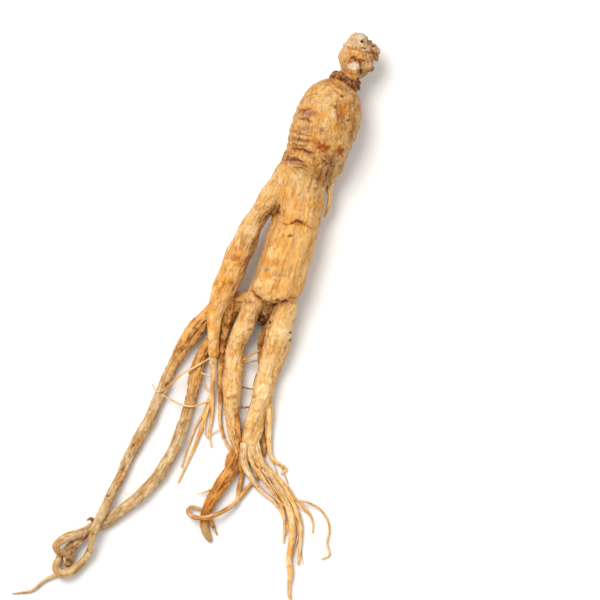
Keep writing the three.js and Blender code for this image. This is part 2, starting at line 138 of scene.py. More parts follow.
# Rootlets, from their base to their tip.
ROOTLETS = [
    [(9.6, -5.5, 12.8, 2.8), (9.2, -9, 12.8, 2.4), (8.2, -12, 12.5, 1.8), (6.6, -15, 12.0, 1.5),
     (5.6, -18.4, 11.5, 1.4), (5.8, -22.7, 10.8, 1.1), (5.0, -27, 10.2, 0.9), (3.4, -31.5, 9.6, 0.5)],
    [(-46.6, -89.5, 8.6, 1.6), (-46.7, -96, 7.2, 1.5), (-46.5, -102.5, 5.2, 1.2), (-47, -109.5, 3.4, 1.1),
     (-47, -116, 2.0, 0.9), (-47.5, -123, 1.3, 0.8), (-48.5, -128.5, 1.0, 0.6), (-47.5, -135, 0.8, 0.4)],
    [(-39.5, -63.5, 11.0, 2.7), (-40, -71, 9.0, 2.4), (-41, -80, 7.2, 2.2), (-42.5, -89, 5.4, 1.9),
     (-43.2, -98, 3.8, 1.6), (-43.4, -107, 2.4, 1.3), (-43.5, -115, 1.6, 1.0), (-43.6, -123, 1.2, 0.85),
     (-42.4, -129.5, 1.1, 0.8), (-40.2, -134.5, 1.2, 0.7), (-36.5, -138.5, 1.6, 0.6)],
    [(-48.5, -113, 2.6, 0.7), (-50.5, -119, 1.6, 0.6), (-54, -124.5, 1.2, 0.5), (-57, -132, 0.9, 0.5),
     (-61, -144, 0.7, 0.3)],
    [(-47.5, -112, 2.6, 0.9), (-49.5, -119, 1.7, 0.9), (-51.5, -125, 1.3, 0.9), (-54, -132, 1.1, 0.8),
     (-57, -139, 0.9, 0.7), (-62.5, -151, 0.7, 0.4)],
    [(-40, -119, 4.2, 1.4), (-39.6, -125, 4.0, 1.3), (-38.4, -131, 4.2, 1.2), (-36.2, -136.5, 4.6, 1.1),
     (-34.2, -141.5, 3.6, 1.0), (-32, -146, 2.4, 0.9), (-29.5, -150, 1.6, 0.6), (-27.5, -153, 1.1, 0.4)],
    [(-36, -135.5, 3.0, 1.4), (-34, -141.5, 2.4, 1.3), (-34, -147.5, 1.7, 1.2), (-35, -154, 1.6, 1.2),
     (-36, -159, 2.2, 1.1), (-39.5, -162, 3.6, 1.1), (-45, -165, 5.4, 1.1), (-51, -166.5, 6.0, 1.1),
     (-56, -166, 4.6, 1.0), (-58, -163.5, 3.2, 0.9), (-56.5, -162, 2.2, 0.9), (-51.5, -163, 1.8, 0.7)],
    [(-26.5, -148.8, 1.0, 0.7), (-29.5, -151.5, 1.2, 0.9), (-32.5, -155, 1.5, 1.1), (-35.5, -158.5, 1.8, 1.1)],
    [(-50, -162, 2.2, 1.0), (-48.5, -166, 1.6, 1.0), (-47, -170, 1.2, 0.9), (-45, -174.5, 0.8, 0.4)],
    [(-32.5, -133.2, 7.3, 1.5), (-32.9, -135.6, 7.0, 1.75), (-33.0, -138.4, 6.2, 1.7), (-32.6, -142, 5.0, 1.6),
     (-30.4, -147.0, 3.8, 1.5), (-27.8, -151.3, 2.8, 1.4), (-24.6, -155, 2.2, 1.2), (-20.4, -158.4, 1.6, 1.0),
     (-17, -162.5, 1.1, 0.8), (-14.4, -168, 0.9, 0.5)],
    [(-29.0, -129, 4.4, 2.4), (-28.4, -135, 3.9, 2.3), (-26.5, -141, 3.2, 1.9), (-23, -146, 2.8, 1.6),
     (-19, -151.5, 2.6, 1.5), (-15.5, -156.5, 2.4, 1.5), (-13, -161.5, 2.2, 1.5), (-11.5, -167.5, 2.0, 1.6),
     (-11, -173.5, 1.9, 1.7), (-12.5, -186, 1.7, 1.5), (-12, -191, 1.6, 1.4), (-12.5, -197, 1.3, 1.0),
     (-12.5, -201.5, 1.0, 0.8), (-11.5, -205, 0.7, 0.4)],
    [(-30, -135.5, 2.4, 1.4), (-29, -142.5, 1.6, 1.2), (-25, -148.5, 1.4, 1.1), (-20.5, -153, 1.3, 1.0),
     (-17, -159, 1.1, 0.9), (-14, -169, 0.9, 0.7), (-12, -174, 0.9, 0.4)],
    [(-28.4, -128, 5.2, 1.6), (-27.0, -134.5, 5.0, 1.5), (-24.4, -142.5, 4.4, 1.2), (-19, -148, 4.0, 1.1),
     (-13.5, -154.5, 3.4, 1.0), (-10, -162, 2.4, 1.0), (-7.5, -169.5, 1.6, 1.0), (-7.5, -177.5, 1.3, 0.9),
     (-8.5, -187.5, 1.1, 0.6)],
    [(-28, -131, 3.4, 1.2), (-25, -140, 2.6, 1.0), (-19, -147.5, 2.0, 0.8), (-13.5, -153, 1.8, 0.8),
     (-9, -160, 1.5, 0.7), (-2.5, -166.5, 0.8, 0.3)],
    [(-14, -153.5, 2.6, 0.6), (-9, -159, 2.2, 0.5), (-4, -164, 1.6, 0.5), (-2, -169, 1.0, 0.5),
     (-2, -173.5, 0.7, 0.3)],
    [(-15, -154.5, 2.2, 0.6), (-9.5, -158.5, 3.0, 0.5), (-3.5, -160, 3.2, 0.5), (1.5, -163, 2.6, 0.5),
     (4.5, -167.5, 1.8, 0.5), (5.5, -172.5, 1.2, 0.5), (4.5, -178, 0.9, 0.5), (5.5, -183.5, 0.8, 0.5),
     (2, -185.5, 0.7, 0.3)],
    [(-22.0, -108, 5.4, 1.0), (-21.5, -113.5, 5.1, 1.4), (-21.5, -118.5, 4.5, 1.6), (-21.7, -123, 3.7, 1.7),
     (-21.9, -128, 2.9, 1.6), (-21.6, -133, 2.3, 1.4), (-21.2, -137, 1.9, 1.1), (-20.2, -140.2, 1.7, 0.9),
     (-17.0, -142.6, 1.5, 0.7), (-14.0, -144.7, 1.3, 0.6), (-16, -147, 1.0, 0.4)],
    [(-30.6, -133, 6.6, 0.8), (-30.4, -137.5, 6.0, 0.9), (-28.6, -143, 5.2, 0.9), (-25.2, -148, 4.6, 0.9),
     (-21.2, -153, 4.0, 0.9), (-18, -158, 3.2, 0.8), (-15.4, -163, 2.4, 0.8), (-14.6, -170, 1.8, 0.7),
     (-15.2, -178, 1.0, 0.4)],
    [(-36.2, -119, 6.0, 1.0), (-35.6, -125, 5.4, 1.2), (-35.2, -131, 5.0, 1.2), (-34.9, -137, 4.6, 1.2),
     (-34.6, -143, 3.4, 1.0), (-33.8, -148, 2.0, 0.7), (-34, -152, 1.2, 0.4)],
    [(-25, -127.5, 2.8, 1.5), (-23.5, -134, 1.7, 1.1), (-24.5, -140, 1.2, 0.8), (-24.5, -144.5, 0.9, 0.4)],
    [(-36.4, -136.6, 3.2, 1.6), (-38.2, -139.0, 3.6, 1.9), (-39.6, -141.4, 3.6, 1.7), (-40.6, -143.4, 3.2, 1.0)],
    [(-20.6, -77.5, 8.6, 0.9), (-22.7, -81.5, 7.8, 1.2), (-25.0, -85.8, 7.0, 1.4), (-25.3, -90, 6.4, 1.45),
     (-25.4, -94.4, 5.8, 1.3), (-25.4, -97.6, 5.4, 1.0), (-24.6, -99.6, 5.2, 0.5)],
]
# How single rootlets look, by their place in the list. The others look like plain strands.
ROOTLET_KINDS = {
    0: "side", 2: "crust", 6: "gilt", 7: "gilt", 8: "tan", 9: "pale", 18: "crust", 19: "crust",
    20: "flap", 21: "flank",
}
# Wisps lie along the foot's bundle: the line that they keep to, as x, y and height.
WISP_LINE = [
    (-28.5, -136, 6.4), (-25.5, -143, 5.8), (-20.8, -149.5, 5.2), (-15.6, -156, 4.4), (-11.6, -163, 3.6),
    (-9.8, -171, 2.8), (-10.2, -181, 2.2), (-11.2, -192, 1.6),
]
WISPS = {"count": 9, "seed": 83, "spread": 2.5, "splay": 3.2, "radius": 0.5}
# Hairs too fine for the solid: some cross in the air from strand to strand.
HAIRS = [
    [(-47, -94.5, 5.6, 0.5), (-55, -99, 6.8, 0.45), (-61, -102.5, 6.8, 0.45), (-66.5, -107.5, 6.4, 0.4),
     (-71.5, -110, 6.0, 0.4), (-74, -106.5, 5.8, 0.25)],
    [(-47, -113.5, 2.6, 0.5), (-52, -115.5, 4.4, 0.45), (-57, -116.5, 6.6, 0.4), (-62.5, -115, 5.6, 0.4),
     (-70, -111, 4.6, 0.3)],
    [(-35, -107.8, 5.0, 0.5), (-31, -108.5, 5.4, 0.45), (-27.4, -109.0, 5.6, 0.4)],
    [(-35, -117, 4.4, 0.5), (-31.5, -117, 4.8, 0.45), (-28.6, -116.5, 5.2, 0.4)],
    [(-34.0, -96.2, 6.0, 0.6), (-30.6, -94.0, 6.8, 0.55), (-25.4, -91.0, 7.0, 0.45)],
    [(-34.0, -95.6, 5.6, 0.6), (-31.4, -97.0, 5.9, 0.5), (-28.4, -96.3, 6.1, 0.45), (-25.4, -95.9, 6.0, 0.4)],
    [(-48, -103, 5.6, 0.4), (-52, -101.5, 5.0, 0.35), (-55, -100.5, 4.8, 0.25)],
    [(-47, -110, 4.0, 0.4), (-50.5, -107.5, 3.0, 0.35), (-52, -103, 2.4, 0.25)],
    [(-48.5, -116, 2.0, 0.4), (-50, -123, 1.4, 0.4), (-50.5, -127.5, 1.2, 0.35), (-49.5, -130.5, 1.0, 0.35),
     (-46.5, -128.5, 1.2, 0.3), (-43.5, -127, 1.4, 0.2)],
    [(-17, -142, 1.4, 0.4), (-15, -146.5, 1.0, 0.35), (-13, -151.5, 0.8, 0.2)],
    [(-21, -140, 1.2, 0.4), (-18.5, -145, 0.9, 0.3), (-17.5, -149.5, 0.7, 0.2)],
    [(-45, -152.5, 3.4, 0.4), (-50, -155, 2.4, 0.35), (-54, -156, 1.6, 0.2)],
    [(-99.5, -169, 4.2, 0.9), (-101.6, -167.0, 4.9, 0.8), (-103.2, -167.6, 4.6, 0.4)],
]
# How single hairs look, the same way.
HAIR_KINDS = {2: "knot", 3: "knot", 4: "gilt", 5: "gilt", 12: "knot"}
# Lobes and buds of the crown: centre, then half sizes along x, y and z, and how softly they join.
LOBES = [
    (12.4, 39.8, 14.4, 2.9, 3.4, 4.8, 1.4), (18.3, 46.4, 14.2, 4.1, 3.7, 4.8, 1.2),
    (22.0, 40.0, 14.4, 3.2, 4.6, 5.4, 1.0), (21.4, 35.4, 15.2, 3.4, 3.0, 4.0, 0.6),
    (24.0, 34.3, 14.8, 1.3, 1.5, 1.6, 0.4), (23.0, 45.2, 15.4, 1.5, 1.5, 2.6, 0.5),
    (16.3, 31.8, 18.0, 2.6, 2.1, 2.6, 0.8), (17.2, 38.0, 8.6, 4.4, 4.0, 2.6, 1.0),
    (19.6, 43.0, 9.6, 3.2, 3.2, 2.4, 0.8), (13.2, 35.4, 10.8, 2.4, 2.2, 2.4, 0.6),
]
# The broken-off stem stub: it leans towards its ragged face, which is cut square across.
STUB = [(16.6, 37.4, 14.5, 3.2), (16.3, 35.2, 19.2, 3.1), (16.2, 34.3, 21.6, 2.9), (16.1, 34.0, 22.8, 2.9)]
STUB_LENGTH = 8.0
# Papery old scales that stand off the crown's right side.
SCALES = [
    [(24.2, 44.2, 15.6, 0.9), (25.6, 43.5, 15.8, 1.3), (26.3, 41.5, 15.4, 1.3), (26.6, 39.5, 15.0, 0.9),
     (26.8, 37.8, 14.6, 0.3)],
    [(23.6, 43.5, 19.0, 0.8), (24.8, 41.7, 19.0, 1.1), (25.0, 39.5, 18.2, 0.9), (24.7, 37.5, 17.4, 0.4)],
    [(22.2, 45.8, 18.0, 0.8), (23.8, 44.9, 18.2, 0.8), (25.2, 44.9, 17.6, 0.35)],
    [(23.8, 43.0, 11.0, 0.9), (25.8, 41.0, 10.8, 1.1), (26.0, 38.5, 11.4, 0.5)],
]
# The collar of old bud scars round the foot of the neck, in two rows of knobs.
COLLAR = {"centre": (12.6, 28.7, 14.2), "radius": 5.2, "height": 5.4, "knobs": 36, "lean": -23, "seed": 41}

# The camera looks straight down on this point of the layout, from this height, and takes in this
# width of the surface.
CAMERA_FOOT = (-7.65, -68.85)
CAMERA_HEIGHT = 1500.0
FRAME_WIDTH = 270.0
SENSOR_WIDTH = 36.0
# The stage, in metres: half the floor's side, how far the floor lies below the root, and the large
# light's place and width.
FLOOR_HALF = 3.0
FLOOR_DROP = 0.0001
KEY_PLACE = (-0.55, 0.3, 1.1)
KEY_WIDTH = 0.8
# The blocks of space that the trunk and the crown are worked out in: from where to where they reach
# along x, y and z. Above the line finer_from the trunk's steps along y are shorter by this share.
TRUNK_BLOCK = {"x": (-31, 23), "y": (-150, 38), "z": (-2.2, 33), "finer_from": -26, "finer": 0.66}
CROWN_BLOCK = {"x": (-12, 20), "y": (16, 60), "z": (3, 26)}
# How far apart the stations of a limb are, and for every piece made of tubes, how far apart the
# rings are and how many sides they have.
LIMB_SPACING = 1.5
TUBES = {"long_tails": (0.4, 44), "leg_tail": (0.35, 48), "rootlets": (0.5, 20), "root_hairs": (0.5, 8)}

# Skin tones, as red, green and blue of a screen colour.
TONES = {
    "cream": (250, 220, 160),
    "gold": (238, 180, 88),
    "ochre": (216, 148, 58),
    "rust": (172, 90, 18),
    "brown": (138, 84, 36),
    "dark": (88, 48, 18),
    "mauve": (160, 118, 88),
    "grey": (158, 134, 104),
    "olive": (128, 118, 62),
    "amber": (222, 148, 34),
    "blush": (250, 224, 194),
    "rose": (214, 150, 128),
    "ash": (212, 194, 158),
    "honey": (208, 150, 72),
    "straw": (220, 184, 130),
    "khaki": (224, 202, 154),
    "fawn": (198, 166, 116),
    "shade": (136, 88, 44),
    "white": (216, 208, 188),
}

# Spots on the skin, laid out as they are seen from above: x, y, half length, half width, lean in
# degrees from x, tone, strength, and how far the skin stands proud there.
SPOTS = [
    (-5.2, 18.0, 2.5, 1.3, 10, "ochre", 0.95, 0.15), (-4.4, 15.0, 4.4, 2.4, 5, "mauve", 0.9, -0.25),
    (-6.6, 20.6, 2.0, 1.4, 50, "mauve", 0.4, 0.0), (-6.0, 8.4, 4.4, 2.0, 0, "mauve", 0.6, 0.0),
    (3.5, 20.5, 3.2, 5.0, -10, "fawn", 0.25, 0.2), (3.0, 14.3, 1.6, 3.0, 0, "amber", 0.6, 0.1),
    (1.9, 7.9, 2.2, 1.2, 0, "mauve", 0.5, 0.0), (11.2, 16.4, 3.4, 5.4, 8, "brown", 0.4, 0.0),
    (11.8, 17.0, 2.5, 4.8, 8, "amber", 0.6, -0.35), (12.0, 13.6, 1.5, 1.9, 10, "mauve", 0.45, 0.0),
    (11.7, 12.6, 2.4, 1.3, -10, "mauve", 0.6, -0.2), (14.0, 11.9, 0.9, 0.8, 0, "dark", 0.8, -0.3),
    (16.4, 20.8, 1.2, 3.4, -15, "mauve", 0.6, 0.0), (18.6, 18.0, 1.2, 2.8, -8, "rust", 0.6, 0.0),
    (2.4, 0.0, 4.8, 3.0, -8, "ochre", 0.6, 0.1), (2.4, 0.2, 3.7, 2.5, -8, "rust", 1.25, 0.2),
    (0.9, -0.2, 1.2, 0.9, 20, "dark", 0.5, -0.1), (4.4, -0.9, 1.4, 0.9, -30, "dark", 0.35, -0.1),
    (10.2, -1.4, 3.0, 3.1, 0, "ochre", 0.6, 0.1), (10.2, -1.6, 2.3, 2.5, 0, "rust", 1.25, 0.2),
    (10.4, -1.9, 0.9, 1.0, 0, "dark", 0.45, -0.15), (5.6, -4.6, 3.4, 2.2, -25, "brown", 0.65, 0.2),
    (1.6, -12.4, 2.2, 5.4, -12, "brown", 0.45, 0.0), (5.0, -11.4, 1.1, 4.6, -14, "shade", 0.6, -0.15),
    (14.9, 5.5, 1.2, 2.8, -15, "brown", 0.5, 0.0), (11.3, 22.9, 0.9, 0.8, 0, "dark", 0.8, -0.35),
    (5.0, 28.2, 4.4, 1.5, -6, "brown", 0.5, 0.0), (12.6, 26.4, 3.0, 1.4, -28, "mauve", 0.6, 0.2),
    (-11.2, -6.8, 1.4, 0.8, 0, "mauve", 0.6, 0.0), (6.6, -6.8, 1.2, 2.0, 30, "mauve", 0.5, 0.3),
    (-7.0, -7.4, 3.2, 1.4, -10, "mauve", 0.45, 0.0), (-0.9, -17.8, 2.0, 0.9, 0, "cream", 0.6, 0.2),
    (-22.5, -54.9, 1.5, 1.0, 0, "mauve", 0.7, -0.2), (-21.6, -54.4, 0.7, 0.5, 0, "white", 0.5, 0.1),
    (-17.6, -57.2, 3.0, 1.2, -15, "mauve", 0.6, 0.0), (-22.2, -51.2, 3.4, 1.8, 10, "ochre", 0.8, 0.0),
    (-22.8, -58.2, 2.8, 1.7, 0, "ochre", 0.85, 0.0), (-12.6, -32.4, 3.6, 1.8, -20, "amber", 0.6, 0.0),
    (-7.6, -34.0, 4.6, 1.2, -6, "ochre", 0.6, 0.0),
    (-11.5, -40.0, 1.6, 0.6, -5, "brown", 0.7, -0.1), (-20.0, -47.6, 2.6, 3.0, 0, "cream", 0.65, 0.1),
    (-20.8, -60.8, 2.8, 2.0, 20, "cream", 0.65, 0.1), (-26.6, -61.2, 2.1, 2.1, 0, "cream", 0.65, 0.15),
    (-17.6, -28.6, 2.0, 3.6, 28, "brown", 0.75, -0.2), (-35.4, -48.4, 4.6, 5.4, -30, "amber", 0.42, 0.0),
    (-36.8, -50.2, 3.4, 1.9, -8, "rust", 0.8, 0.0), (-32.4, -41.5, 3.2, 4.2, -30, "brown", 0.22, 0.0),
    (-22.6, -30.6, 2.0, 4.2, -38, "brown", 0.7, 0.0), (-27.4, -41.0, 1.4, 6.0, -28, "brown", 0.6, 0.0),
    (-31.0, -51.0, 1.2, 6.0, -20, "brown", 0.5, 0.0), (-26.6, -27.0, 1.8, 1.3, 0, "mauve", 0.45, 0.0),
    # The shade spot at (-21.9, -72.8) darkens the stub between the legs: partly its own brown, partly painted
    # shade.
    (-21.9, -72.8, 3.9, 4.4, 0, "shade", 0.7, 0.0), (-39.0, -56.0, 1.4, 1.0, 0, "mauve", 0.5, 0.0),
    (-30.8, -69.6, 2.6, 1.6, 15, "mauve", 0.7, 0.0), (-33.6, -76.6, 1.6, 4.6, -18, "ochre", 0.6, 0.0),
    (-38.0, -112.4, 3.6, 1.4, 0, "rust", 0.45, 0.0),
    (-26.6, -118.9, 1.5, 1.0, 0, "amber", 0.7, 0.0), (-36.0, -100.0, 1.4, 2.4, 0, "amber", 0.5, 0.0),
    # Painted shade: the dark spot at (-24.0, -78.6) paints the low mass between the legs as the gap's deep
    # shade.
    (-24.0, -78.6, 3.4, 3.6, 0, "dark", 1.3, 0.0), (-12.2, -83.5, 0.7, 0.8, 0, "dark", 0.8, -0.3),
    (-12.1, -86.9, 0.7, 0.9, 0, "dark", 0.8, -0.3), (-11.2, -69.8, 1.6, 1.1, 0, "mauve", 0.6, 0.0),
    (-18.8, -88.3, 0.8, 0.7, 0, "rust", 0.6, 0.0), (-28.2, -112.4, 0.9, 0.8, 0, "rust", 0.7, 0.0),
    (-25.1, -105.9, 1.1, 1.0, 0, "ochre", 0.6, 0.0), (-33.3, -84.8, 1.3, 1.9, 0, "amber", 0.65, 0.0),
    (-34.6, -88.6, 1.2, 1.3, 0, "amber", 0.55, 0.0), (-30.0, -69.9, 1.1, 0.7, 0, "rust", 0.7, 0.0),
    (-30.5, -82.0, 1.7, 0.7, 20, "rust", 0.6, -0.1), (-36.5, -102.8, 1.2, 1.6, 0, "blush", 0.6, 0.0),
]
# Dark pits and scars on the tails, laid out the same way.
TAIL_SPOTS = [
    (-55.1, -81.7, 1.3, 1.1, 0, "brown", 0.8, 0.3), (-64.5, -92.5, 2.0, 6.0, -34, "brown", 0.55, -0.3),
    (-61.0, -90.5, 0.8, 4.5, -34, "dark", 0.55, -0.3), (-68.6, -109.2, 1.6, 1.4, 0, "cream", 0.7, 0.3),
    (-67.6, -106.4, 1.2, 1.8, 0, "brown", 0.6, 0.0), (-82.8, -134.1, 0.7, 0.7, 0, "dark", 0.9, -0.3),
    (-84.3, -138.8, 0.5, 1.2, -25, "dark", 0.7, -0.2), (-87.7, -146.0, 0.8, 3.6, -26, "brown", 0.75, -0.2),
    (-94.2, -156.8, 0.8, 0.7, 0, "dark", 1.0, -0.5), (-88.5, -162.4, 1.5, 0.7, 30, "brown", 0.6, -0.1),
    (-100.8, -174.0, 0.8, 1.2, 0, "brown", 0.7, 0.0), (-103.4, -181.5, 1.0, 0.8, 0, "brown", 0.7, 0.0),
    (-110.5, -180.5, 2.6, 2.2, 0, "brown", 0.6, 0.0), (-56.5, -104.0, 0.7, 4.0, -15, "fawn", 0.6, 0.0),
]
LEG_TAIL_SPOTS = [
    (-49.4, -173.2, 3.0, 5.0, 10, "fawn", 0.9, 0.0), (-50.2, -164.6, 3.4, 3.0, 0, "brown", 0.6, -0.15),
    (-36.2, -141.5, 1.6, 5.0, -24, "dark", 0.5, -0.3), (-46.0, -153.5, 1.4, 5.0, -34, "brown", 0.5, -0.1),
    (-37.6, -133.5, 2.6, 3.6, 0, "brown", 0.45, 0.0), (-42.2, -149.0, 2.0, 4.0, -30, "gold", 0.5, 0.0),
]
# Creases in the skin, laid out the same way: depth, half width, how dark, and the line's points.
CREASES = [
    (0.40, 0.40, 0.65, [(-9, 13.0), (-5, 12.4), (-2.2, 11.3)]),
    (0.40, 0.35, 0.60, [(-12.4, 4.8), (-8, 3.3), (-2.6, 2.6)]),
    (0.25, 0.28, 0.50, [(-12.0, 7.2), (-8, 6.4), (-4.4, 6.2)]),
    (0.30, 0.30, 0.45, [(-12.8, 1.7), (-8.2, 0.8), (-3.6, 0.4)]),
    (0.55, 0.42, 0.85, [(-11.6, -0.3), (-6, -1.7), (-1.2, -3.0)]),
    (0.30, 0.28, 0.55, [(-15.4, -2.2), (-10.6, -3.2)]),
    (0.45, 0.38, 0.70, [(-14.9, -4.2), (-8, -5.6)]),
    (0.45, 0.38, 0.70, [(-15.3, -6.2), (-10, -5.8), (-5, -6.4)]),
    (0.30, 0.28, 0.55, [(-9.5, -7.2), (-4.5, -8.8)]),
    (0.25, 0.25, 0.45, [(-10.5, -9.2), (-5.5, -10.0)]),
    (0.40, 0.50, 0.65, [(1.5, -4.3), (4.6, -7.6), (7.8, -5.4)]),
    (0.30, 0.50, 0.50, [(7.2, -6.6), (4.6, -12), (2.8, -18.5)]),
    (0.25, 0.40, 0.40, [(3.4, -7.6), (1.2, -13), (-1.0, -20.5)]),
    (0.20, 0.35, 0.35, [(0.2, -7.5), (-1.8, -13), (-4.0, -21)]),
    (0.30, 0.40, 0.50, [(8.8, -6.8), (6.6, -11.5), (5.2, -17)]),
    (0.25, 0.30, 0.60, [(-8.8, 17.0), (-6, 16.6), (-3.4, 17.0)]),
    (0.35, 0.40, 0.60, [(9.8, 22.0), (8.8, 18), (9.0, 14.6), (10.4, 11.4), (12.6, 10.8)]),
    (0.20, 0.35, 0.35, [(14.4, 21), (14.9, 17), (14.5, 12)]),
    (0.15, 0.30, 0.40, [(11.2, 20.8), (10.8, 17), (11.4, 13)]),
    (0.15, 0.28, 0.35, [(12.9, 20.6), (12.7, 16.6)]),
    (0.22, 0.35, 0.40, [(16.6, 22), (17, 16), (16.4, 9), (15.2, 3)]),
    (0.20, 0.30, 0.35, [(5.5, 25.6), (9.5, 24.6), (12.5, 22.6)]),
    (0.18, 0.30, 0.30, [(8.5, 27.0), (11.5, 26.0), (14.6, 23.8)]),
    (0.20, 0.30, 0.35, [(-7.4, 22.0), (-3.6, 22.8), (0.2, 25.0)]),
    (0.70, 0.50, 0.95, [(-16.4, -25.6), (-17.8, -28.8), (-19.8, -31.6)]),
    (0.75, 0.42, 0.95, [(-12.2, -34.6), (-10.9, -34.0), (-9.3, -33.5), (-7.6, -34.0), (-6.0, -34.5)]),
    (0.45, 0.28, 0.60, [(-16.1, -33.7), (-14.8, -34.6), (-13.5, -35.0), (-12.0, -34.4), (-10.6, -34.0)]),
    (0.35, 0.26, 0.50, [(-6.8, -34.2), (-5.4, -35.6), (-4.0, -35.9), (-2.4, -36.9), (-1.0, -37.0)]),
    (0.35, 0.40, 0.45, [(-13.5, -40), (-10.8, -40)]),
    (0.65, 0.42, 0.80, [(-30.2, -64.6), (-26.4, -67.9), (-24.4, -69.4), (-22, -70.4)]),
    (0.80, 0.55, 0.95, [(-19.6, -71.4), (-18.2, -69.8), (-17.1, -68.7)]),
    (0.60, 0.40, 0.85, [(-17.5, -68.9), (-15.3, -69.6), (-12.9, -69.1)]),
    (0.25, 0.30, 0.40, [(-13.0, -68.9), (-11.8, -68.0), (-9.0, -67.8)]),
]


def linear(tone):
    """A screen colour of 0 to 255 as the linear colour that the shaders work in."""
    share = np.array(tone, float) / 255
    return np.where(share <= 0.04045, share / 12.92, ((share + 0.055) / 1.055) ** 2.4)


PAINT = {name: linear(tone) for name, tone in TONES.items()}
# What a full brown darkening leaves of the red, green and blue that the skin gives back: used
# for the skin's own brown lines and for painted shade.
BROWN_DARKENING = np.array([0.26, 0.115, 0.05])


def turned(points, lean=BODY_LEAN):
    """Points of the layout, in line with Y: x and y turned round the origin by the lean."""
    points = np.array(points, float)
    x, y = points[:, 0].copy(), points[:, 1].copy()
    points[:, 0] = x * math.cos(lean) - y * math.sin(lean)
    points[:, 1] = x * math.sin(lean) + y * math.cos(lean)
    return points


def as_seen(points):
    """Where points show in the layout, seen from the camera: higher ones move away from its foot."""
    flat = turned(points, -BODY_LEAN)
    foot = np.array(CAMERA_FOOT)
    nearer = CAMERA_HEIGHT / (CAMERA_HEIGHT - flat[:, 2])
    return foot + (flat[:, :2] - foot) * nearer[:, None]


def smooth(value, low, high):
    """0 below low, 1 above high, and an even S-curve between."""
    share = np.clip((value - low) / (high - low), 0, 1)
    return share * share * (3 - 2 * share)


def mix(first, second, share):
    """The first colour where share is 0 and the second where it is 1, row by row."""
    return first + (np.asarray(second) - first) * np.clip(share, 0, 1)[:, None]


def darken_brown(tint, share):
    """The tint darkened towards brown, for its own brown marks and for painted shade: multiplied
    by the darkening's colour to the power of share.
    """
    return tint * BROWN_DARKENING ** np.clip(share, 0, 1)[:, None]


def ripple(points, wavelength, seed, stretch=(1, 1, 1), waves=24):
    """Soft unevenness of about -1 to 1: a sum of cosine waves in random directions."""
    draw = np.random.default_rng(seed)
    heading = draw.normal(size=(waves, 3))
    heading /= np.linalg.norm(heading, axis=1)[:, None]
    pace = 2 * math.pi / wavelength * draw.uniform(0.6, 1.5, waves)
    phase = draw.uniform(0, 2 * math.pi, waves)
    drawn_out = points / np.array(stretch)
    return np.cos(drawn_out @ (heading * pace[:, None]).T + phase).sum(1) * math.sqrt(0.7 / waves)


def nearness(points, line):
    """How far each point is from a line of short straight pieces, and how far along it is."""
    line = np.array(line, float)
    best = np.full(len(points), 1e9)
    along = np.zeros(len(points))
    run = 0.0
    for start, end in zip(line[:-1], line[1:]):
        way = end - start
        share = np.clip((points - start) @ way / (way @ way), 0, 1)
        span = np.linalg.norm(points - start - share[:, None] * way, axis=1)
        closer = span < best
        best = np.where(closer, span, best)
        along = np.where(closer, run + share * np.linalg.norm(way), along)
        run += np.linalg.norm(way)
    return best, along, run


class Strand:
    """A centre line: a centripetal Catmull-Rom curve through the rows, cut into even steps, with
    the radius carried along it, and at each step the directions forward, sideways and up."""

    def __init__(self, rows, spacing):
        rows = turned(rows)
        fine = 24
        share = np.arange(fine) / fine
        place = np.vstack([2 * rows[0] - rows[1], rows, 2 * rows[-1] - rows[-2]])
        gap = np.linalg.norm(np.diff(place[:, :3], axis=0), axis=1) ** 0.5
        points = []
        for i in range(len(rows) - 1):
            a, b, c, d = place[i : i + 4, :3]
            before, here, after = gap[i : i + 3]
            leave = ((b - a) / before - (c - a) / (before + here) + (c - b) / here) * here
            arrive = ((c - b) / here - (d - b) / (here + after) + (d - c) / after) * here
            t = share[:, None]
            curve = b + leave * t + (3 * (c - b) - 2 * leave - arrive) * t**2
            points.append(curve + (2 * (b - c) + leave + arrive) * t**3)
        points = np.vstack(points + [rows[-1:, :3]])
        width = np.pad(rows[:, 3], 1, mode="edge")
        start, rise, fall, end = width[:-3, None], width[1:-2, None], width[2:-1, None], width[3:, None]
        swell, shrink = (fall - start) / 2, (end - rise) / 2
        radius = rise + swell * share + (3 * (fall - rise) - 2 * swell - shrink) * share**2
        radius = radius + (2 * (rise - fall) + swell + shrink) * share**3
        radius = np.append(radius.ravel(), rows[-1, 3])
        run = np.append(0, np.cumsum(np.linalg.norm(np.diff(points, axis=0), axis=1)))
        steps = max(3, round(run[-1] / spacing))
        self.along = np.linspace(0, run[-1], steps + 1)
        self.centre = np.stack([np.interp(self.along, run, points[:, i]) for i in range(3)], 1)
        self.radius = np.interp(self.along, run, radius)
        self.forward = np.gradient(self.centre, axis=0)
        self.forward /= np.linalg.norm(self.forward, axis=1)[:, None]
        self.side = np.cross(self.forward, (0, 0, 1))
        self.side /= np.linalg.norm(self.side, axis=1)[:, None]
        self.up = np.cross(self.side, self.forward)

    def coordinates(self, points):
        """For each point, how far along the strand it is, the angle round it, and how far it
        stands off the strand's surface. Each is measured from the nearest step."""
        step = self.along[1] - self.along[0]
        nearest = np.empty(len(points), int)
        chunk = 20000
        for first in range(0, len(points), chunk):
            some = points[first : first + chunk]
            span = some @ self.centre.T * -2 + (self.centre**2).sum(1)
            nearest[first : first + chunk] = span.argmin(1)
        offset = points - self.centre[nearest]
        ahead = np.clip((offset * self.forward[nearest]).sum(1), -0.6 * step, 0.6 * step)
        beside = (offset * self.side[nearest]).sum(1)
        above = (offset * self.up[nearest]).sum(1)
        along = self.along[nearest] + ahead
        reach = np.linalg.norm(offset - self.forward[nearest] * ahead[:, None], axis=1)
        return along, np.arctan2(above, beside), reach - np.interp(along, self.along, self.radius)


def soft_join(first, second, blend):
    """The lower of two distances, with the seam where they meet filled over the blend's width."""
    share = np.clip(0.5 + 0.5 * (second - first) / blend, 0, 1)
    return second + (first - second) * share - blend * share * (1 - share)


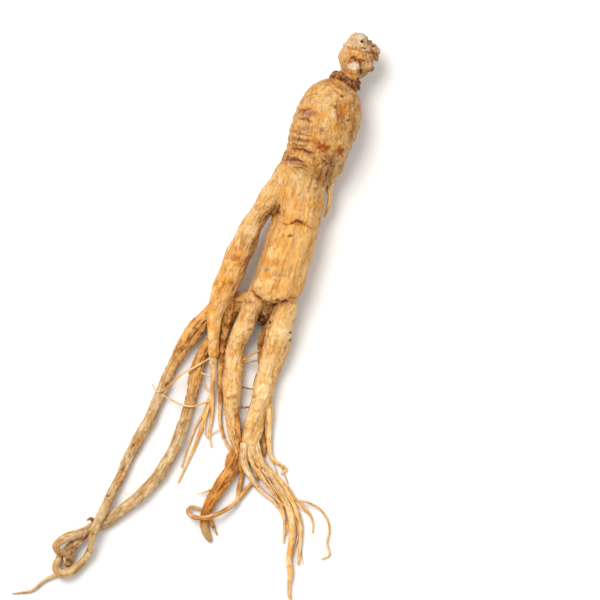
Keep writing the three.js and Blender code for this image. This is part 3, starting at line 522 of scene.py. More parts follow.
class Grid:
    """A block of points in even or uneven steps along x, y and z, on which a field holds each
    point's distance to a surface: below 0 inside."""

    FAR = 6.0

    def __init__(self, *axes):
        self.axes = [np.asarray(axis, float) for axis in axes]
        self.shape = tuple(len(axis) for axis in axes)

    def empty(self):
        return np.full(self.shape, self.FAR, np.float32)

    def window(self, centre, reach):
        """The part of the block within reach of a point: its slices, and its x, y and z."""
        slices = []
        for axis, middle, half in zip(self.axes, centre, np.broadcast_to(reach, 3)):
            slices.append(slice(*np.searchsorted(axis, (middle - half, middle + half))))
        axes = [axis[s].astype(np.float32) for axis, s in zip(self.axes, slices)]
        return tuple(slices), np.ix_(*axes)

    def strand_field(self, strand):
        """The distance to a strand: to the line between two steps, less the radius there."""
        field = self.empty()
        for i in range(len(strand.centre) - 1):
            start, end = strand.centre[i], strand.centre[i + 1]
            way = (end - start).astype(np.float32)
            reach = max(strand.radius[i], strand.radius[i + 1]) + self.FAR
            slices, (x, y, z) = self.window((start + end) / 2, reach + np.abs(way) / 2)
            x, y, z = x - start[0], y - start[1], z - start[2]
            share = np.clip((x * way[0] + y * way[1] + z * way[2]) / (way @ way), 0, 1)
            span = np.sqrt((x - share * way[0]) ** 2 + (y - share * way[1]) ** 2 + (z - share * way[2]) ** 2)
            radius = strand.radius[i] + share * (strand.radius[i + 1] - strand.radius[i])
            field[slices] = np.minimum(field[slices], span - radius)
        return field

    def past_edge(self, edge):
        """How far each point of the block lies past a line of the layout, along the layout's y."""
        x, y = np.meshgrid(self.axes[0], self.axes[1], indexing="ij")
        across = x * math.cos(BODY_LEAN) + y * math.sin(BODY_LEAN)
        up = y * math.cos(BODY_LEAN) - x * math.sin(BODY_LEAN)
        return (up - np.interp(across, *np.array(edge).T))[:, :, None]

    def ball_window(self, ball):
        """An ellipsoid's distance, near enough, in the part of the block around it."""
        centre, half = np.array(ball[:3], float), np.array(ball[3:], float)
        slices, (x, y, z) = self.window(centre, half + self.FAR)
        ratio = np.sqrt(
            ((x - centre[0]) / half[0]) ** 2
            + ((y - centre[1]) / half[1]) ** 2
            + ((z - centre[2]) / half[2]) ** 2
        )
        return slices, (ratio - 1) * half.min()

    def add_balls(self, field, balls, blend):
        """Joins ellipsoids to a field, each by a soft seam."""
        for ball in balls:
            slices, lobe = self.ball_window(ball)
            field[slices] = soft_join(field[slices], lobe, blend)

    def sample(self, field, points):
        """The field between its points: the mean of the eight round a place, weighed by nearness."""
        base, share = [], []
        for axis, value in zip(self.axes, points.T):
            place = np.interp(value, axis, np.arange(len(axis)))
            low = np.clip(np.floor(place).astype(int), 0, len(axis) - 2)
            base.append(low)
            share.append(place - low)
        total = np.zeros(len(points))
        for corner in np.ndindex(2, 2, 2):
            weight = np.ones(len(points))
            for i in range(3):
                weight = weight * (share[i] if corner[i] else 1 - share[i])
            total += weight * field[base[0] + corner[0], base[1] + corner[1], base[2] + corner[2]]
        return total

    def slope(self, field, points, step=0.4):
        """The direction in which the field rises, of length 1."""
        rise = np.stack(
            [
                self.sample(field, points + step * axis) - self.sample(field, points - step * axis)
                for axis in np.eye(3)
            ],
            1,
        )
        return rise / np.maximum(np.linalg.norm(rise, axis=1)[:, None], 1e-9)

    def mend(self, field):
        """Where the four corners of a grid square are inside and outside by turns, two sheets of
        the surface would share an edge. All four are put inside there, until no such square is
        left."""
        found = True
        while found:
            found = False
            for one, other in ((0, 1), (1, 2), (0, 2)):
                first = field < 0
                second, third = np.roll(first, -1, one), np.roll(first, -1, other)
                fourth = np.roll(second, -1, other)
                checkered = (first == fourth) & (second == third) & (first != second)
                found = found or checkered.any()
                for shift in np.ndindex(2, 2):
                    corner = np.roll(checkered, shift, (one, other))
                    field[corner] = np.minimum(field[corner], -0.01)

    def surface(self, field):
        """The surface where the field is 0. Each cell that it passes through holds one vertex, at
        the mean of the places where the cell's edges cross 0, and each grid edge that crosses 0
        has a face between the four cells round it. The shape must end within the block."""
        self.mend(field)
        inside = field < 0
        border = inside.sum() - inside[1:-1, 1:-1, 1:-1].sum()
        if border:
            raise ValueError("the block is too small for the shape in it")
        nx, ny, nz = self.shape
        corners = list(np.ndindex(2, 2, 2))
        count = sum(
            inside[a : nx - 1 + a, b : ny - 1 + b, c : nz - 1 + c].astype(np.int8) for a, b, c in corners
        )
        cells = np.argwhere((count > 0) & (count < 8))
        number = np.full((nx - 1, ny - 1, nz - 1), -1, np.int64)
        number[tuple(cells.T)] = np.arange(len(cells))
        total = np.zeros((len(cells), 3))
        crossings = np.zeros(len(cells))
        values = {corner: field[tuple((cells + corner).T)].astype(float) for corner in corners}
        for start in corners:
            for axis in range(3):
                if start[axis]:
                    continue
                end = tuple(v + (i == axis) for i, v in enumerate(start))
                one, other = values[start], values[end]
                crosses = (one < 0) != (other < 0)
                share = np.where(crosses, one / np.where(crosses, one - other, 1), 0)
                place = np.array(start, float) + share[:, None] * np.eye(3)[axis]
                total += place * crosses[:, None]
                crossings += crosses
        share = total / crossings[:, None]
        points = np.stack(
            [
                axis[cells[:, i]] + share[:, i] * (axis[cells[:, i] + 1] - axis[cells[:, i]])
                for i, axis in enumerate(self.axes)
            ],
            1,
        )
        faces = []
        for axis in range(3):
            second, third = (axis + 1) % 3, (axis + 2) % 3
            here = [slice(1, -1)] * 3
            here[axis] = slice(0, -1)
            there = list(here)
            there[axis] = slice(1, None)
            start, end = inside[tuple(here)], inside[tuple(there)]
            for leaves, reverse in ((start & ~end, False), (end & ~start, True)):
                edge = np.argwhere(leaves)
                edge[:, second] += 1
                edge[:, third] += 1
                ring = []
                for back_second, back_third in ((1, 1), (0, 1), (0, 0), (1, 0)):
                    cell = edge.copy()
                    cell[:, second] -= back_second
                    cell[:, third] -= back_third
                    ring.append(number[tuple(cell.T)])
                face = np.stack(ring, 1)
                faces.append(face[:, ::-1] if reverse else face)
        return points, np.vstack(faces)

    def relaxed(self, field, points, faces, rounds=2):
        """Evens out a surface: each vertex moves to the mean of its neighbours, then back along
        the field's slope to where the field is 0."""
        edges = np.vstack([faces[:, [i, (i + 1) % 4]] for i in range(4)])
        size = len(points)
        degree = np.bincount(edges.ravel(), minlength=size)
        for _ in range(rounds):
            mean = np.stack(
                [
                    np.bincount(edges[:, 0], points[edges[:, 1], i], size)
                    + np.bincount(edges[:, 1], points[edges[:, 0], i], size)
                    for i in range(3)
                ],
                1,
            ) / degree[:, None]
            points = 0.4 * points + 0.6 * mean
            points = points - self.slope(field, points) * self.sample(field, points)[:, None]
        return points


def make_piece(name, points, faces, attributes, material):
    """One mesh object at the origin, from points in millimetres. A face whose last two corners
    are the same is a triangle."""
    placed = points * MM
    placed[:, 2] = np.maximum(placed[:, 2], 0)
    corners = np.where(faces[:, 2] == faces[:, 3], 3, 4)
    loops = faces.ravel()[(np.arange(4)[None, :] < corners[:, None]).ravel()]
    mesh = bpy.data.meshes.new(name)
    mesh.vertices.add(len(placed))
    mesh.vertices.foreach_set("co", placed.ravel())
    mesh.loops.add(len(loops))
    mesh.loops.foreach_set("vertex_index", loops)
    mesh.polygons.add(len(corners))
    mesh.polygons.foreach_set("loop_start", np.cumsum(corners) - corners)
    mesh.update(calc_edges=True)
    mesh.polygons.foreach_set("use_smooth", np.ones(len(corners), bool))
    for key, value in attributes.items():
        if key == "tint":
            rgba = np.hstack([value, np.ones((len(value), 1))])
            mesh.attributes.new(key, "FLOAT_COLOR", "POINT").data.foreach_set("color", rgba.ravel())
        else:
            mesh.attributes.new(key, "FLOAT_VECTOR", "POINT").data.foreach_set("vector", value.ravel())
    mesh.materials.append(material)
    mesh.validate()
    piece = bpy.data.objects.new(name, mesh)
    bpy.context.scene.collection.objects.link(piece)
    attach(piece, BODY_NAME)
    return piece


def tubes(strands, sides, kinds, spots, underside_shade):
    """Closed tubes along strands: at every step a ring of points stands off the centre line by
    the radius and the skin's relief, and each end is closed by one point a little beyond it. The
    underside is painted darker as painted shade."""
    points, faces, tints, grains, first = [], [], [], [], 0
    for number, (strand, kind) in enumerate(zip(strands, kinds)):
        turn = 2 * math.pi * np.arange(sides) / sides
        along = np.repeat(strand.along, sides)
        angle = np.tile(turn, len(strand.along))
        radius = np.repeat(strand.radius, sides)
        side = np.repeat(strand.side, sides, axis=0)
        up = np.repeat(strand.up, sides, axis=0)
        outward = side * np.cos(angle)[:, None] + up * np.sin(angle)[:, None]
        centre = np.repeat(strand.centre, sides, axis=0)
        place = centre + outward * radius[:, None]
        relief, tint, grain = limb_skin(kind, number, along, angle, radius, place)
        facing = smooth(outward[:, 2], 0.05, 0.4)
        relief, tint = relief_and_marks(as_seen(place), facing, relief, tint, place, spots, ())
        # Painted shade: each tube is darkened towards its underside, standing in for the shade under it and
        # between strands.
        tint = darken_brown(tint, underside_shade * smooth(0.5 - outward[:, 2], 0, 1.0))
        flare = 0.35 * radius * np.exp(-along / 1.2) * (radius < 2.4)
        reach = radius + relief * np.clip(radius / 2.4, 0, 1) + flare
        ring = centre + outward * reach[:, None]
        tip = 0.7 * strand.radius[[0, -1], None] * strand.forward[[0, -1]] * [[-1], [1]]
        ends = [0, -1]
        points += [ring, strand.centre[ends] + tip]
        tints += [tint, tint[ends]]
        grains += [grain, grain[ends] * (1, 0, 0)]
        steps = len(strand.along)
        lower = (np.arange(steps - 1)[:, None] * sides + np.arange(sides)).ravel()
        beside = (np.arange(steps - 1)[:, None] * sides + (np.arange(sides) + 1) % sides).ravel()
        faces.append(first + np.stack([lower, lower + sides, beside + sides, beside], 1))
        round_it = np.arange(sides)
        last = (steps - 1) * sides
        pole = np.full(sides, steps * sides)
        following = (round_it + 1) % sides
        faces.append(first + np.stack([pole, round_it, following, following], 1))
        faces.append(first + np.stack([pole + 1, last + following, last + round_it, last + round_it], 1))
        first += steps * sides + 2
    return np.vstack(points), np.vstack(faces), {"tint": np.vstack(tints), "grain": np.vstack(grains)}


def grow_tubes(name, lines, kinds, material, spots=(), underside_shade=0.3):
    """One piece made of closed tubes, one for each centre line."""
    spacing, sides = TUBES[name]
    strands = [Strand(rows, spacing) for rows in lines]
    return make_piece(name, *tubes(strands, sides, kinds, spots, underside_shade), material)


class Nodes:
    """Short ways to add and link the nodes of one material."""

    def __init__(self, name):
        self.material = bpy.data.materials.new(name)
        self.material.use_nodes = True
        self.tree = self.material.node_tree
        self.tree.nodes.clear()

    def add(self, kind, links=(), **values):
        node = self.tree.nodes.new(kind)
        for key, value in values.items():
            if hasattr(node, key):
                setattr(node, key, value)
            else:
                node.inputs[key.replace("_", " ")].default_value = value
        for socket, source in dict(links).items():
            self.tree.links.new(source, node.inputs[socket])
        return node

    def noise(self, vector, scale, detail, roughness, distortion=0.0):
        node = self.add("ShaderNodeTexNoise", {"Vector": vector})
        node.inputs["Scale"].default_value = scale
        node.inputs["Detail"].default_value = detail
        node.inputs["Roughness"].default_value = roughness
        node.inputs["Distortion"].default_value = distortion
        return node.outputs["Fac"]

    def stretched(self, vector, scale):
        node = self.add("ShaderNodeMapping", {"Vector": vector})
        node.inputs["Scale"].default_value = scale
        return node.outputs["Vector"]

    def span(self, value, low, high, to_low=0.0, to_high=1.0):
        node = self.add("ShaderNodeMapRange", {"Value": value})
        node.inputs["From Min"].default_value = low
        node.inputs["From Max"].default_value = high
        node.inputs["To Min"].default_value = to_low
        node.inputs["To Max"].default_value = to_high
        return node.outputs["Result"]

    def math(self, operation, first, second):
        node = self.add("ShaderNodeMath", operation=operation)
        for socket, value in zip(node.inputs, (first, second)):
            if isinstance(value, (int, float)):
                socket.default_value = value
            else:
                self.tree.links.new(value, socket)
        return node.outputs["Value"]

    def blend(self, kind, share, first, second):
        node = self.add("ShaderNodeMix", data_type="RGBA", blend_type=kind)
        for socket, value in ((0, share), (6, first), (7, second)):
            if isinstance(value, (int, float)):
                node.inputs[socket].default_value = value
            elif isinstance(value, (tuple, list, np.ndarray)):
                node.inputs[socket].default_value = (*value[:3], 1)
            else:
                self.tree.links.new(value, node.inputs[socket])
        return node.outputs[2]


# What the fibres and the patches multiply the skin's red, green and blue by, from their lowest to
# their highest places; what the crazing leaves of them; the flecks' tone; and the bump's strength
# and its depth in metres.
FIBRE_TINTS = ((0.84, 0.71, 0.50), (1.07, 1.10, 1.22))
PATCH_TINTS = ((0.90, 0.80, 0.56), (1.06, 1.11, 1.32))
CRAZE_TINT = (0.46, 0.27, 0.13)
FLECK_TONE = (140, 80, 32)
BUMP_STRENGTH = 0.8
BUMP_DEPTH = 0.0006


def bark(name, grain, along, settings, speck=1.0, line=1.0):
    """A root's skin: the painted tint, streaked by fine fibres that run along the grain, crazed by
    thin brown lines along and across it, and flecked, over a bump of fibres, lines and pores."""
    nodes = Nodes(name)
    if grain == "Object":
        place = nodes.add("ShaderNodeTexCoord").outputs["Object"]
        place = nodes.stretched(place, (1000, 1000, 1000))
    else:
        place = nodes.add("ShaderNodeAttribute", attribute_name=grain).outputs["Vector"]
    tint = nodes.add("ShaderNodeAttribute", attribute_name="tint").outputs["Color"]

    def drawn(lengthwise, crosswise):
        scale = [crosswise] * 3
        scale[along] = lengthwise
        return nodes.stretched(place, scale)

    def threads(vector, scale, width, distortion):
        """Thin lines where a noise passes through its middle value."""
        wave = nodes.math("SUBTRACT", nodes.noise(vector, scale, 3, 0.55, distortion), 0.5)
        return nodes.span(nodes.math("ABSOLUTE", wave, 0.0), 0.0, width, 1.0, 0.0)

    fibres = nodes.noise(drawn(0.15, 1.0), 1.5, 5, 0.66, 0.5)
    mottle = nodes.noise(drawn(0.45, 0.9), 0.6, 5, 0.62, 0.6)
    patches = nodes.span(mottle, 0.42, 0.56)
    wrinkles = nodes.math("MULTIPLY", threads(drawn(0.08, 1.0), 0.80, 0.030, 0.3), patches)
    cuts = nodes.span(fibres, 0.52, 0.62, 0.0, 0.6)
    nicks = nodes.math("MULTIPLY", threads(drawn(1.0, 0.35), 0.50, 0.020, 1.0), cuts)
    specks = nodes.noise(place, 1.3, 3, 0.55)
    streak = nodes.blend("MIX", nodes.span(fibres, 0.34, 0.64), *FIBRE_TINTS)
    patch = nodes.blend("MIX", nodes.span(mottle, 0.34, 0.66), *PATCH_TINTS)
    colour = nodes.blend("MULTIPLY", 1.0, tint, streak)
    colour = nodes.blend("MULTIPLY", 1.0, colour, patch)
    crazing = nodes.math("MULTIPLY", nodes.math("MAXIMUM", wrinkles, nicks), 0.62 * line)
    colour = nodes.blend("MULTIPLY", crazing, colour, CRAZE_TINT)
    fleck = nodes.span(specks, 0.67, 0.74, 0.0, 0.6 * speck)
    colour = nodes.blend("MIX", fleck, colour, linear(FLECK_TONE))
    relief = nodes.math("ADD", fibres, nodes.math("MULTIPLY", crazing, -0.6))
    relief = nodes.math("ADD", relief, nodes.math("MULTIPLY", nodes.noise(place, 2.6, 4, 0.6), 0.5))
    relief = nodes.math("ADD", relief, nodes.math("MULTIPLY", mottle, 0.8))
    bump = nodes.add("ShaderNodeBump", {"Height": relief})
    bump.inputs["Strength"].default_value = BUMP_STRENGTH
    bump.inputs["Distance"].default_value = BUMP_DEPTH
    rough = nodes.span(fibres, 0.3, 0.7, 0.74, 0.54)
    links = {"Base Color": colour, "Normal": bump.outputs["Normal"], "Roughness": rough}
    shader = nodes.add("ShaderNodeBsdfPrincipled", links)
    shader.inputs["Subsurface Weight"].default_value = settings.translucence
    shader.inputs["Subsurface Radius"].default_value = (1.0, 0.5, 0.2)
    shader.inputs["Subsurface Scale"].default_value = 0.0012
    shader.inputs["Specular IOR Level"].default_value = 0.3
    nodes.add("ShaderNodeOutputMaterial", {"Surface": shader.outputs["BSDF"]})
    return nodes.material


# The rings round the upper body, as in the solid: the stretch that has them, over what length they
# fade, how far apart and how deep they are, and how far they wander.
RINGS = {"from": 8, "to": 52, "fade": 9, "pitch": 4.8, "depth": 0.5, "wander": 0.9}
FOLDS = {"from": 40, "to": 60, "count": 9, "depth": 0.4, "sway": 14}
LIMB_LUMP = 0.05
BODY_LUMP = 0.02


def limb_swell(along, angle, radius):
    """The slow swells of a limb: two sine waves that wind round it."""
    return LIMB_LUMP * radius * (np.sin(along / 5 + 2 * angle) + np.sin(along / 2.3 - 3 * angle))


def body_swell(along, angle, radius):
    """The body's large relief: swellings that meet in creases round the upper part, lengthwise
    folds down the lower, and a slow winding lump."""
    ringed = smooth(along, RINGS["from"], RINGS["from"] + RINGS["fade"])
    ringed *= 1 - smooth(along, RINGS["to"] - RINGS["fade"], RINGS["to"])
    wandered = along + RINGS["wander"] * np.sin(2 * angle + 1)
    ring = np.abs(np.sin(math.pi * wandered / RINGS["pitch"])) - 0.6
    folded = smooth(along, FOLDS["from"], FOLDS["to"])
    fold = np.cos(FOLDS["count"] * angle + 1.5 * np.sin(along / FOLDS["sway"]))
    lump = np.sin(along / 7 + 2 * angle)
    return RINGS["depth"] * ringed * ring + FOLDS["depth"] * folded * fold + BODY_LUMP * radius * lump


def ring_creases(along, angle, points, pitch):
    """Fine broken creases round the body. The lines stand a pitch apart and wander, and each is
    cut into arcs: a seeded draw for its number and a slow ripple say where it shows."""
    wandered = along + 0.8 * ripple(points, 16, 11) + 0.3 * ripple(points, 6, 12)
    place = wandered / pitch
    number = np.floor(place + 0.5).astype(int)
    off = (place - number) * pitch
    strength = np.random.default_rng(13).uniform(0.35, 1.0, 200)[number % 200]
    arcs = smooth(ripple(points + number[:, None] * 7.3, 9, 14), -0.35, 0.45)
    return strength * arcs * np.exp(-((off / 0.42) ** 2))


# How a limb looks: its pale and its deep tone, and how far it leans to the deep one; how rusty it
# is and from where along it, and how barky; over what length from its base it is golden and crusty;
# how deep its wrinkles, its cracks and its furrows are in millimetres; how high its small rings and
# its crust stand; how strong the brown lines across it and the net of orange lines on it are; and
# how bright it is.
PLAIN = {
    "pale": "cream", "deep": "gold", "lean": 0.4, "rusty": 0.0, "barky": 0.0, "golden": 0.0,
    "wrinkled": 0.15, "cracked": 0.0, "furrowed": 0.0, "ringy": 0.03, "crusty": 0.05, "lined": 0.12,
    "netted": 0.3, "bright": 1.0, "rusty_from": 15.0,
}
LOOKS = {
    "body": {**PLAIN, "lean": 0.50, "lined": 0.0, "netted": 0.42},
    "arm": {
        **PLAIN, "lean": 0.40, "barky": 0.18, "wrinkled": 0.20, "crusty": 0.04, "netted": 0.5,
        "bright": 0.90,
    },
    "leg": {**PLAIN, "lean": 0.28, "lined": 0.16, "netted": 0.4, "bright": 0.97},
    "rusty": {
        **PLAIN, "lean": 0.42, "rusty": 0.3, "barky": 0.35, "wrinkled": 0.26, "cracked": 0.7,
        "crusty": 0.12, "netted": 0.0,
    },
    "flap": {
        **PLAIN, "lean": 0.5, "rusty": 0.45, "rusty_from": -12.0, "barky": 0.5, "wrinkled": 0.3,
        "cracked": 0.7, "crusty": 0.2, "netted": 0.0,
    },
    "strand": {
        **PLAIN, "lean": 0.34, "furrowed": 0.45, "wrinkled": 0.20, "crusty": 0.06, "netted": 0.0,
        "bright": 1.10,
    },
    "side": {**PLAIN, "lean": 0.2, "golden": 7.0, "furrowed": 0.3, "crusty": 0.12, "netted": 0.0},
    "pale": {
        **PLAIN, "deep": "blush", "lean": 0.3, "furrowed": 0.25, "wrinkled": 0.20, "crusty": 0.05,
        "netted": 0.0,
    },
    "gilt": {**PLAIN, "deep": "honey", "lean": 0.70, "barky": 0.12, "furrowed": 0.45, "netted": 0.0},
    "tan": {
        **PLAIN, "pale": "khaki", "deep": "fawn", "lean": 0.42, "golden": 56.0, "furrowed": 0.2,
        "wrinkled": 0.2, "cracked": 0.2, "netted": 0.0,
    },
    "flank": {
        **PLAIN, "pale": "honey", "deep": "brown", "lean": 0.3, "barky": 0.5, "wrinkled": 0.3,
        "cracked": 0.5, "crusty": 0.2, "furrowed": 0.3, "netted": 0.0, "bright": 0.92,
    },
    "knot": {
        **PLAIN, "pale": "khaki", "deep": "fawn", "lean": 0.6, "barky": 0.9, "furrowed": 0.5,
        "wrinkled": 0.3, "cracked": 0.7, "crusty": 0.3, "netted": 0.0,
    },
    "crust": {
        **PLAIN, "pale": "cream", "deep": "honey", "lean": 0.4, "barky": 0.7, "golden": 34.0,
        "wrinkled": 0.35, "cracked": 0.3, "crusty": 0.30, "furrowed": 0.3, "netted": 0.0,
    },
}
LIMB_APART = 400.0


def limb_skin(kind, number, along, angle, radius, points):
    """The relief, the tint and the grain of one limb. Streaks, wrinkles and mottles are ripples
    drawn out along the limb, in the space of (along, radius times the angle's cosine and sine),
    in which the limbs lie far apart. Hollows are painted browner, as painted shade, and crests
    paler, partly as a painted highlight. Wrinkles and cracks run where a ripple passes through 0,
    and furrows at three angles that sway."""
    look = LOOKS[kind]
    grain = np.stack([along + LIMB_APART * number, radius * np.cos(angle), radius * np.sin(angle)], 1)
    size = len(points)
    streak = ripple(grain, 2.2, 21, (6, 1, 1))
    fine = ripple(grain, 1.2, 22, (5, 1, 1))
    mottle = ripple(grain, 4.2, 24, (2.0, 1, 1))
    patch = ripple(grain, 14, 23, (1.6, 1, 1))
    crackle = ripple(grain, 1.9, 26, (1.2, 1, 1))
    rings = ripple(grain, 2.3, 27, (0.8, 3, 3))
    wrinkle = smooth(0.24 - np.abs(ripple(grain, 3.4, 25, (6, 1, 1))), 0, 0.24)
    wrinkle *= smooth(patch + 0.5 * mottle, -0.9, 0.3)
    crack = smooth(0.15 - np.abs(ripple(grain, 4.6, 28, (6, 1, 1))), 0, 0.11) * smooth(mottle, -0.6, 0.2)
    net = smooth(0.13 - np.abs(ripple(grain, 3.2, 33, (1.5, 1, 1))), 0, 0.12) * smooth(patch, -0.8, 0.4)
    golden = 1 - smooth(along, 0.75 * look["golden"], 1.3 * look["golden"] + 1)
    golden *= look["golden"] > 0
    crusty, cracked = look["crusty"] + 0.18 * golden, look["cracked"] + 0.45 * golden
    lean, barky = look["lean"] + 0.2 * golden, look["barky"]
    if look["golden"]:
        barky = barky * golden
    bright = look["bright"] * np.ones(size)
    if kind == "arm":
        bright += 0.16 * smooth(along, 36, 74)
        lean = lean + 0.45 * smooth(along, 36, 74)
        inner = smooth(-np.cos(angle), 0.0, 0.7) * smooth(along, 12, 18) * (1 - smooth(along, 56, 74))
        barky, crusty = barky + 0.5 * inner, crusty + 0.02 * inner
    rusted = smooth(along, look["rusty_from"], look["rusty_from"] + 12) * (look["rusty"] > 0)
    lean = lean + 0.4 * rusted
    furrow = np.zeros(size)
    for third in range(3):
        middle = 2.1 * third + 0.6 * np.sin(along / 9 + 2.3 * third + number) + number
        off = (angle - middle + math.pi) % (2 * math.pi) - math.pi
        furrow = np.maximum(furrow, np.exp(-((off / 0.27) ** 2)))
    furrow *= smooth(ripple(grain, 9, 30, (2, 1, 1)), -0.6, 0.3)
    relief = 0.08 * streak + 0.05 * fine + crusty * crackle + look["ringy"] * rings
    relief = relief - look["wrinkled"] * wrinkle - cracked * crack - look["furrowed"] * furrow
    gold = lean + 0.12 * streak + 0.10 * fine + 0.20 * patch + 0.18 * mottle
    tint = mix(PAINT[look["pale"]] * np.ones((size, 3)), PAINT[look["deep"]], gold)
    tint = mix(tint, PAINT["gold"], 0.7 * golden)
    tint = mix(tint, PAINT["amber"], (0.12 + 0.28 * lean) * smooth(patch + 0.9 * mottle, 0.5, 1.6))
    # Partly the skin's own pale blush, partly a painted highlight on the crests of the crackle.
    tint = mix(tint, PAINT["blush"], 0.40 * (1 - golden) * smooth(crackle - 0.7 * mottle, 0.3, 1.3))
    bark_patch = smooth(0.7 * mottle + 0.8 * crackle - 0.5 * patch, -0.4, 0.9)
    tint = mix(tint, PAINT["brown"], (barky + 0.16 * golden) * bark_patch)
    tint = darken_brown(mix(tint, PAINT["ochre"], look["netted"] * net), 0.2 * look["netted"] * net)
    tint = mix(tint, PAINT["amber"], 0.5 * rusted)
    tint = mix(tint, PAINT["rust"], look["rusty"] * rusted * (0.8 + 0.4 * streak))
    tint = mix(tint, PAINT["brown"], 0.25 * smooth(rings + 0.5 * mottle, 0.8, 1.6))
    # The furrows are darkened partly for their own brown, partly as painted shade in the gaps between strands.
    tint = darken_brown(tint, min(1.0, 1.2 * look["furrowed"]) * 0.42 * furrow)
    tint = darken_brown(tint, np.minimum(1.0, 1.5 * cracked) * 0.7 * crack)
    if look["lined"]:
        across = ring_creases(along, angle, grain, 3.1)
        relief = relief - 0.12 * look["lined"] * across
        tint = darken_brown(tint, 0.7 * look["lined"] * across)
    if kind == "body":
        left = np.cos(angle - 0.25)
        ringed = smooth(along, 20, 30) * (1 - smooth(along, 39, 47))
        ringed *= 0.3 + 0.7 * smooth(left, -0.25, 0.5)
        line = ring_creases(along, angle, points, 1.9) * ringed
        relief = relief + body_swell(along, angle, radius) - 0.32 * line + 0.08 * ringed
        lower = smooth(along, 46, 62)
        # Painted shade: the upper body, and the left flank of the lower body, are painted darker where the key
        # light falls brightest.
        shade = 0.80 + 0.16 * lower - 0.15 * smooth(np.cos(angle), 0.0, 0.9) * lower
        tint = mix(tint, PAINT["gold"], 0.15 + 0.35 * lower) * shade[:, None]
        tint = mix(tint, PAINT["brown"], 0.26 * ringed * smooth(ripple(points, 7, 31), -0.3, 0.9))
        tint = darken_brown(tint, 0.43 * line)
    else:
        relief = relief + limb_swell(along, angle, radius)
    # Painted shade in the hollows of the streaks and the crackle; the wrinkles are darkened partly for their own
    # brown, partly as painted shade.
    low = smooth(-(0.5 * streak + 0.5 * fine + 0.6 * crackle), 0.25, 1.0)
    tint = darken_brown(tint, 0.14 * low + 0.20 * wrinkle) * bright[:, None]
    return relief, tint, grain


def grown_skin(points, normals, limbs):
    """The relief and the tint of a skin grown over several limbs. Each limb gives its own, and
    they are blended by how near the limb's surface is. Over them come the creases and spots."""
    size = len(points)
    relief, weight_sum, tint = np.zeros(size), np.zeros(size), np.zeros((size, 3))
    for number, (kind, strand) in enumerate(limbs):
        along, angle, off = strand.coordinates(points)
        near = np.flatnonzero(off < 5)
        along, angle, off = along[near], angle[near], off[near]
        radius = np.interp(along, strand.along, strand.radius)
        weight = np.exp(-np.maximum(off, 0) / 0.6) + 1e-6
        swell, skin, _ = limb_skin(kind, number, along, angle, radius, points[near])
        relief[near] += weight * swell
        tint[near] += weight[:, None] * skin
        weight_sum[near] += weight
    relief, tint = relief / weight_sum, tint / weight_sum[:, None]
    # Painted shade: the sides and undersides, turned away from above, are painted towards the shade tone.
    under = smooth(0.55 - normals[:, 2] + 0.15 * ripple(points, 2.5, 55), 0, 0.6)
    tint = mix(tint, PAINT["shade"], 0.28 * under)
    facing = smooth(normals[:, 2], 0.05, 0.4)
    return relief_and_marks(as_seen(points), facing, relief, tint, points, SPOTS, CREASES)


def relief_and_marks(seen, facing, relief, tint, points, spots, creases):
    """Adds the laid-out spots and creases to a relief and a tint. A spot is an ellipse with a
    ragged edge, and a crease a groove along its line, shallower towards its ends."""
    ragged = 0.27 * ripple(points, 2.4, 51) + 0.17 * ripple(points, 1.2, 52)
    patchy = np.clip(1.0 + 0.35 * ripple(points, 1.6, 57), 0.2, 1.25)
    broken = np.clip(0.85 + 0.6 * ripple(points, 2.2, 56), 0.1, 1)
    for x, y, half_length, half_width, lean, tone, strength, proud in spots:
        lean = math.radians(lean)
        dx, dy = seen[:, 0] - x, seen[:, 1] - y
        u = (dx * math.cos(lean) + dy * math.sin(lean)) / half_length
        v = (dy * math.cos(lean) - dx * math.sin(lean)) / half_width
        inside = facing * (1 - smooth(np.hypot(u, v) + ragged, 0.40, 1.20))
        tint = mix(tint, PAINT[tone], strength * inside * patchy)
        relief = relief + proud * inside
    for depth, half_width, dark, line in creases:
        waver = np.stack([ripple(points, 4, 53), ripple(points, 4, 54)], 1) * 0.35
        waver += np.stack([ripple(points, 1.4, 58), ripple(points, 1.4, 59)], 1) * 0.27
        off, along, run = nearness(seen + waver, line)
        ends = smooth(along, -0.1 * run, 0.25 * run) * (1 - smooth(along, 0.75 * run, 1.1 * run))
        groove = facing * ends * broken * np.exp(-((off / half_width) ** 2))
        relief = relief - depth * groove
        brim = np.exp(-(((off - 2.2 * half_width) / half_width) ** 2))
        relief = relief + 0.3 * depth * facing * ends * brim
        # The groove and a halo round it are darkened partly for the crease's own brown, partly as painted shade
        # in it.
        halo = facing * ends * np.exp(-((off / (2.6 * half_width)) ** 2))
        tint = darken_brown(tint, 0.22 * dark * halo + dark * groove)
    return relief, tint


def colour(tone, description):
    """A setting for one tone of the skin."""
    return FloatVectorProperty(
        name=tone.capitalize(), description=description, default=tuple(PAINT[tone]), size=3,
        min=0, max=1, subtype="COLOR",
    )


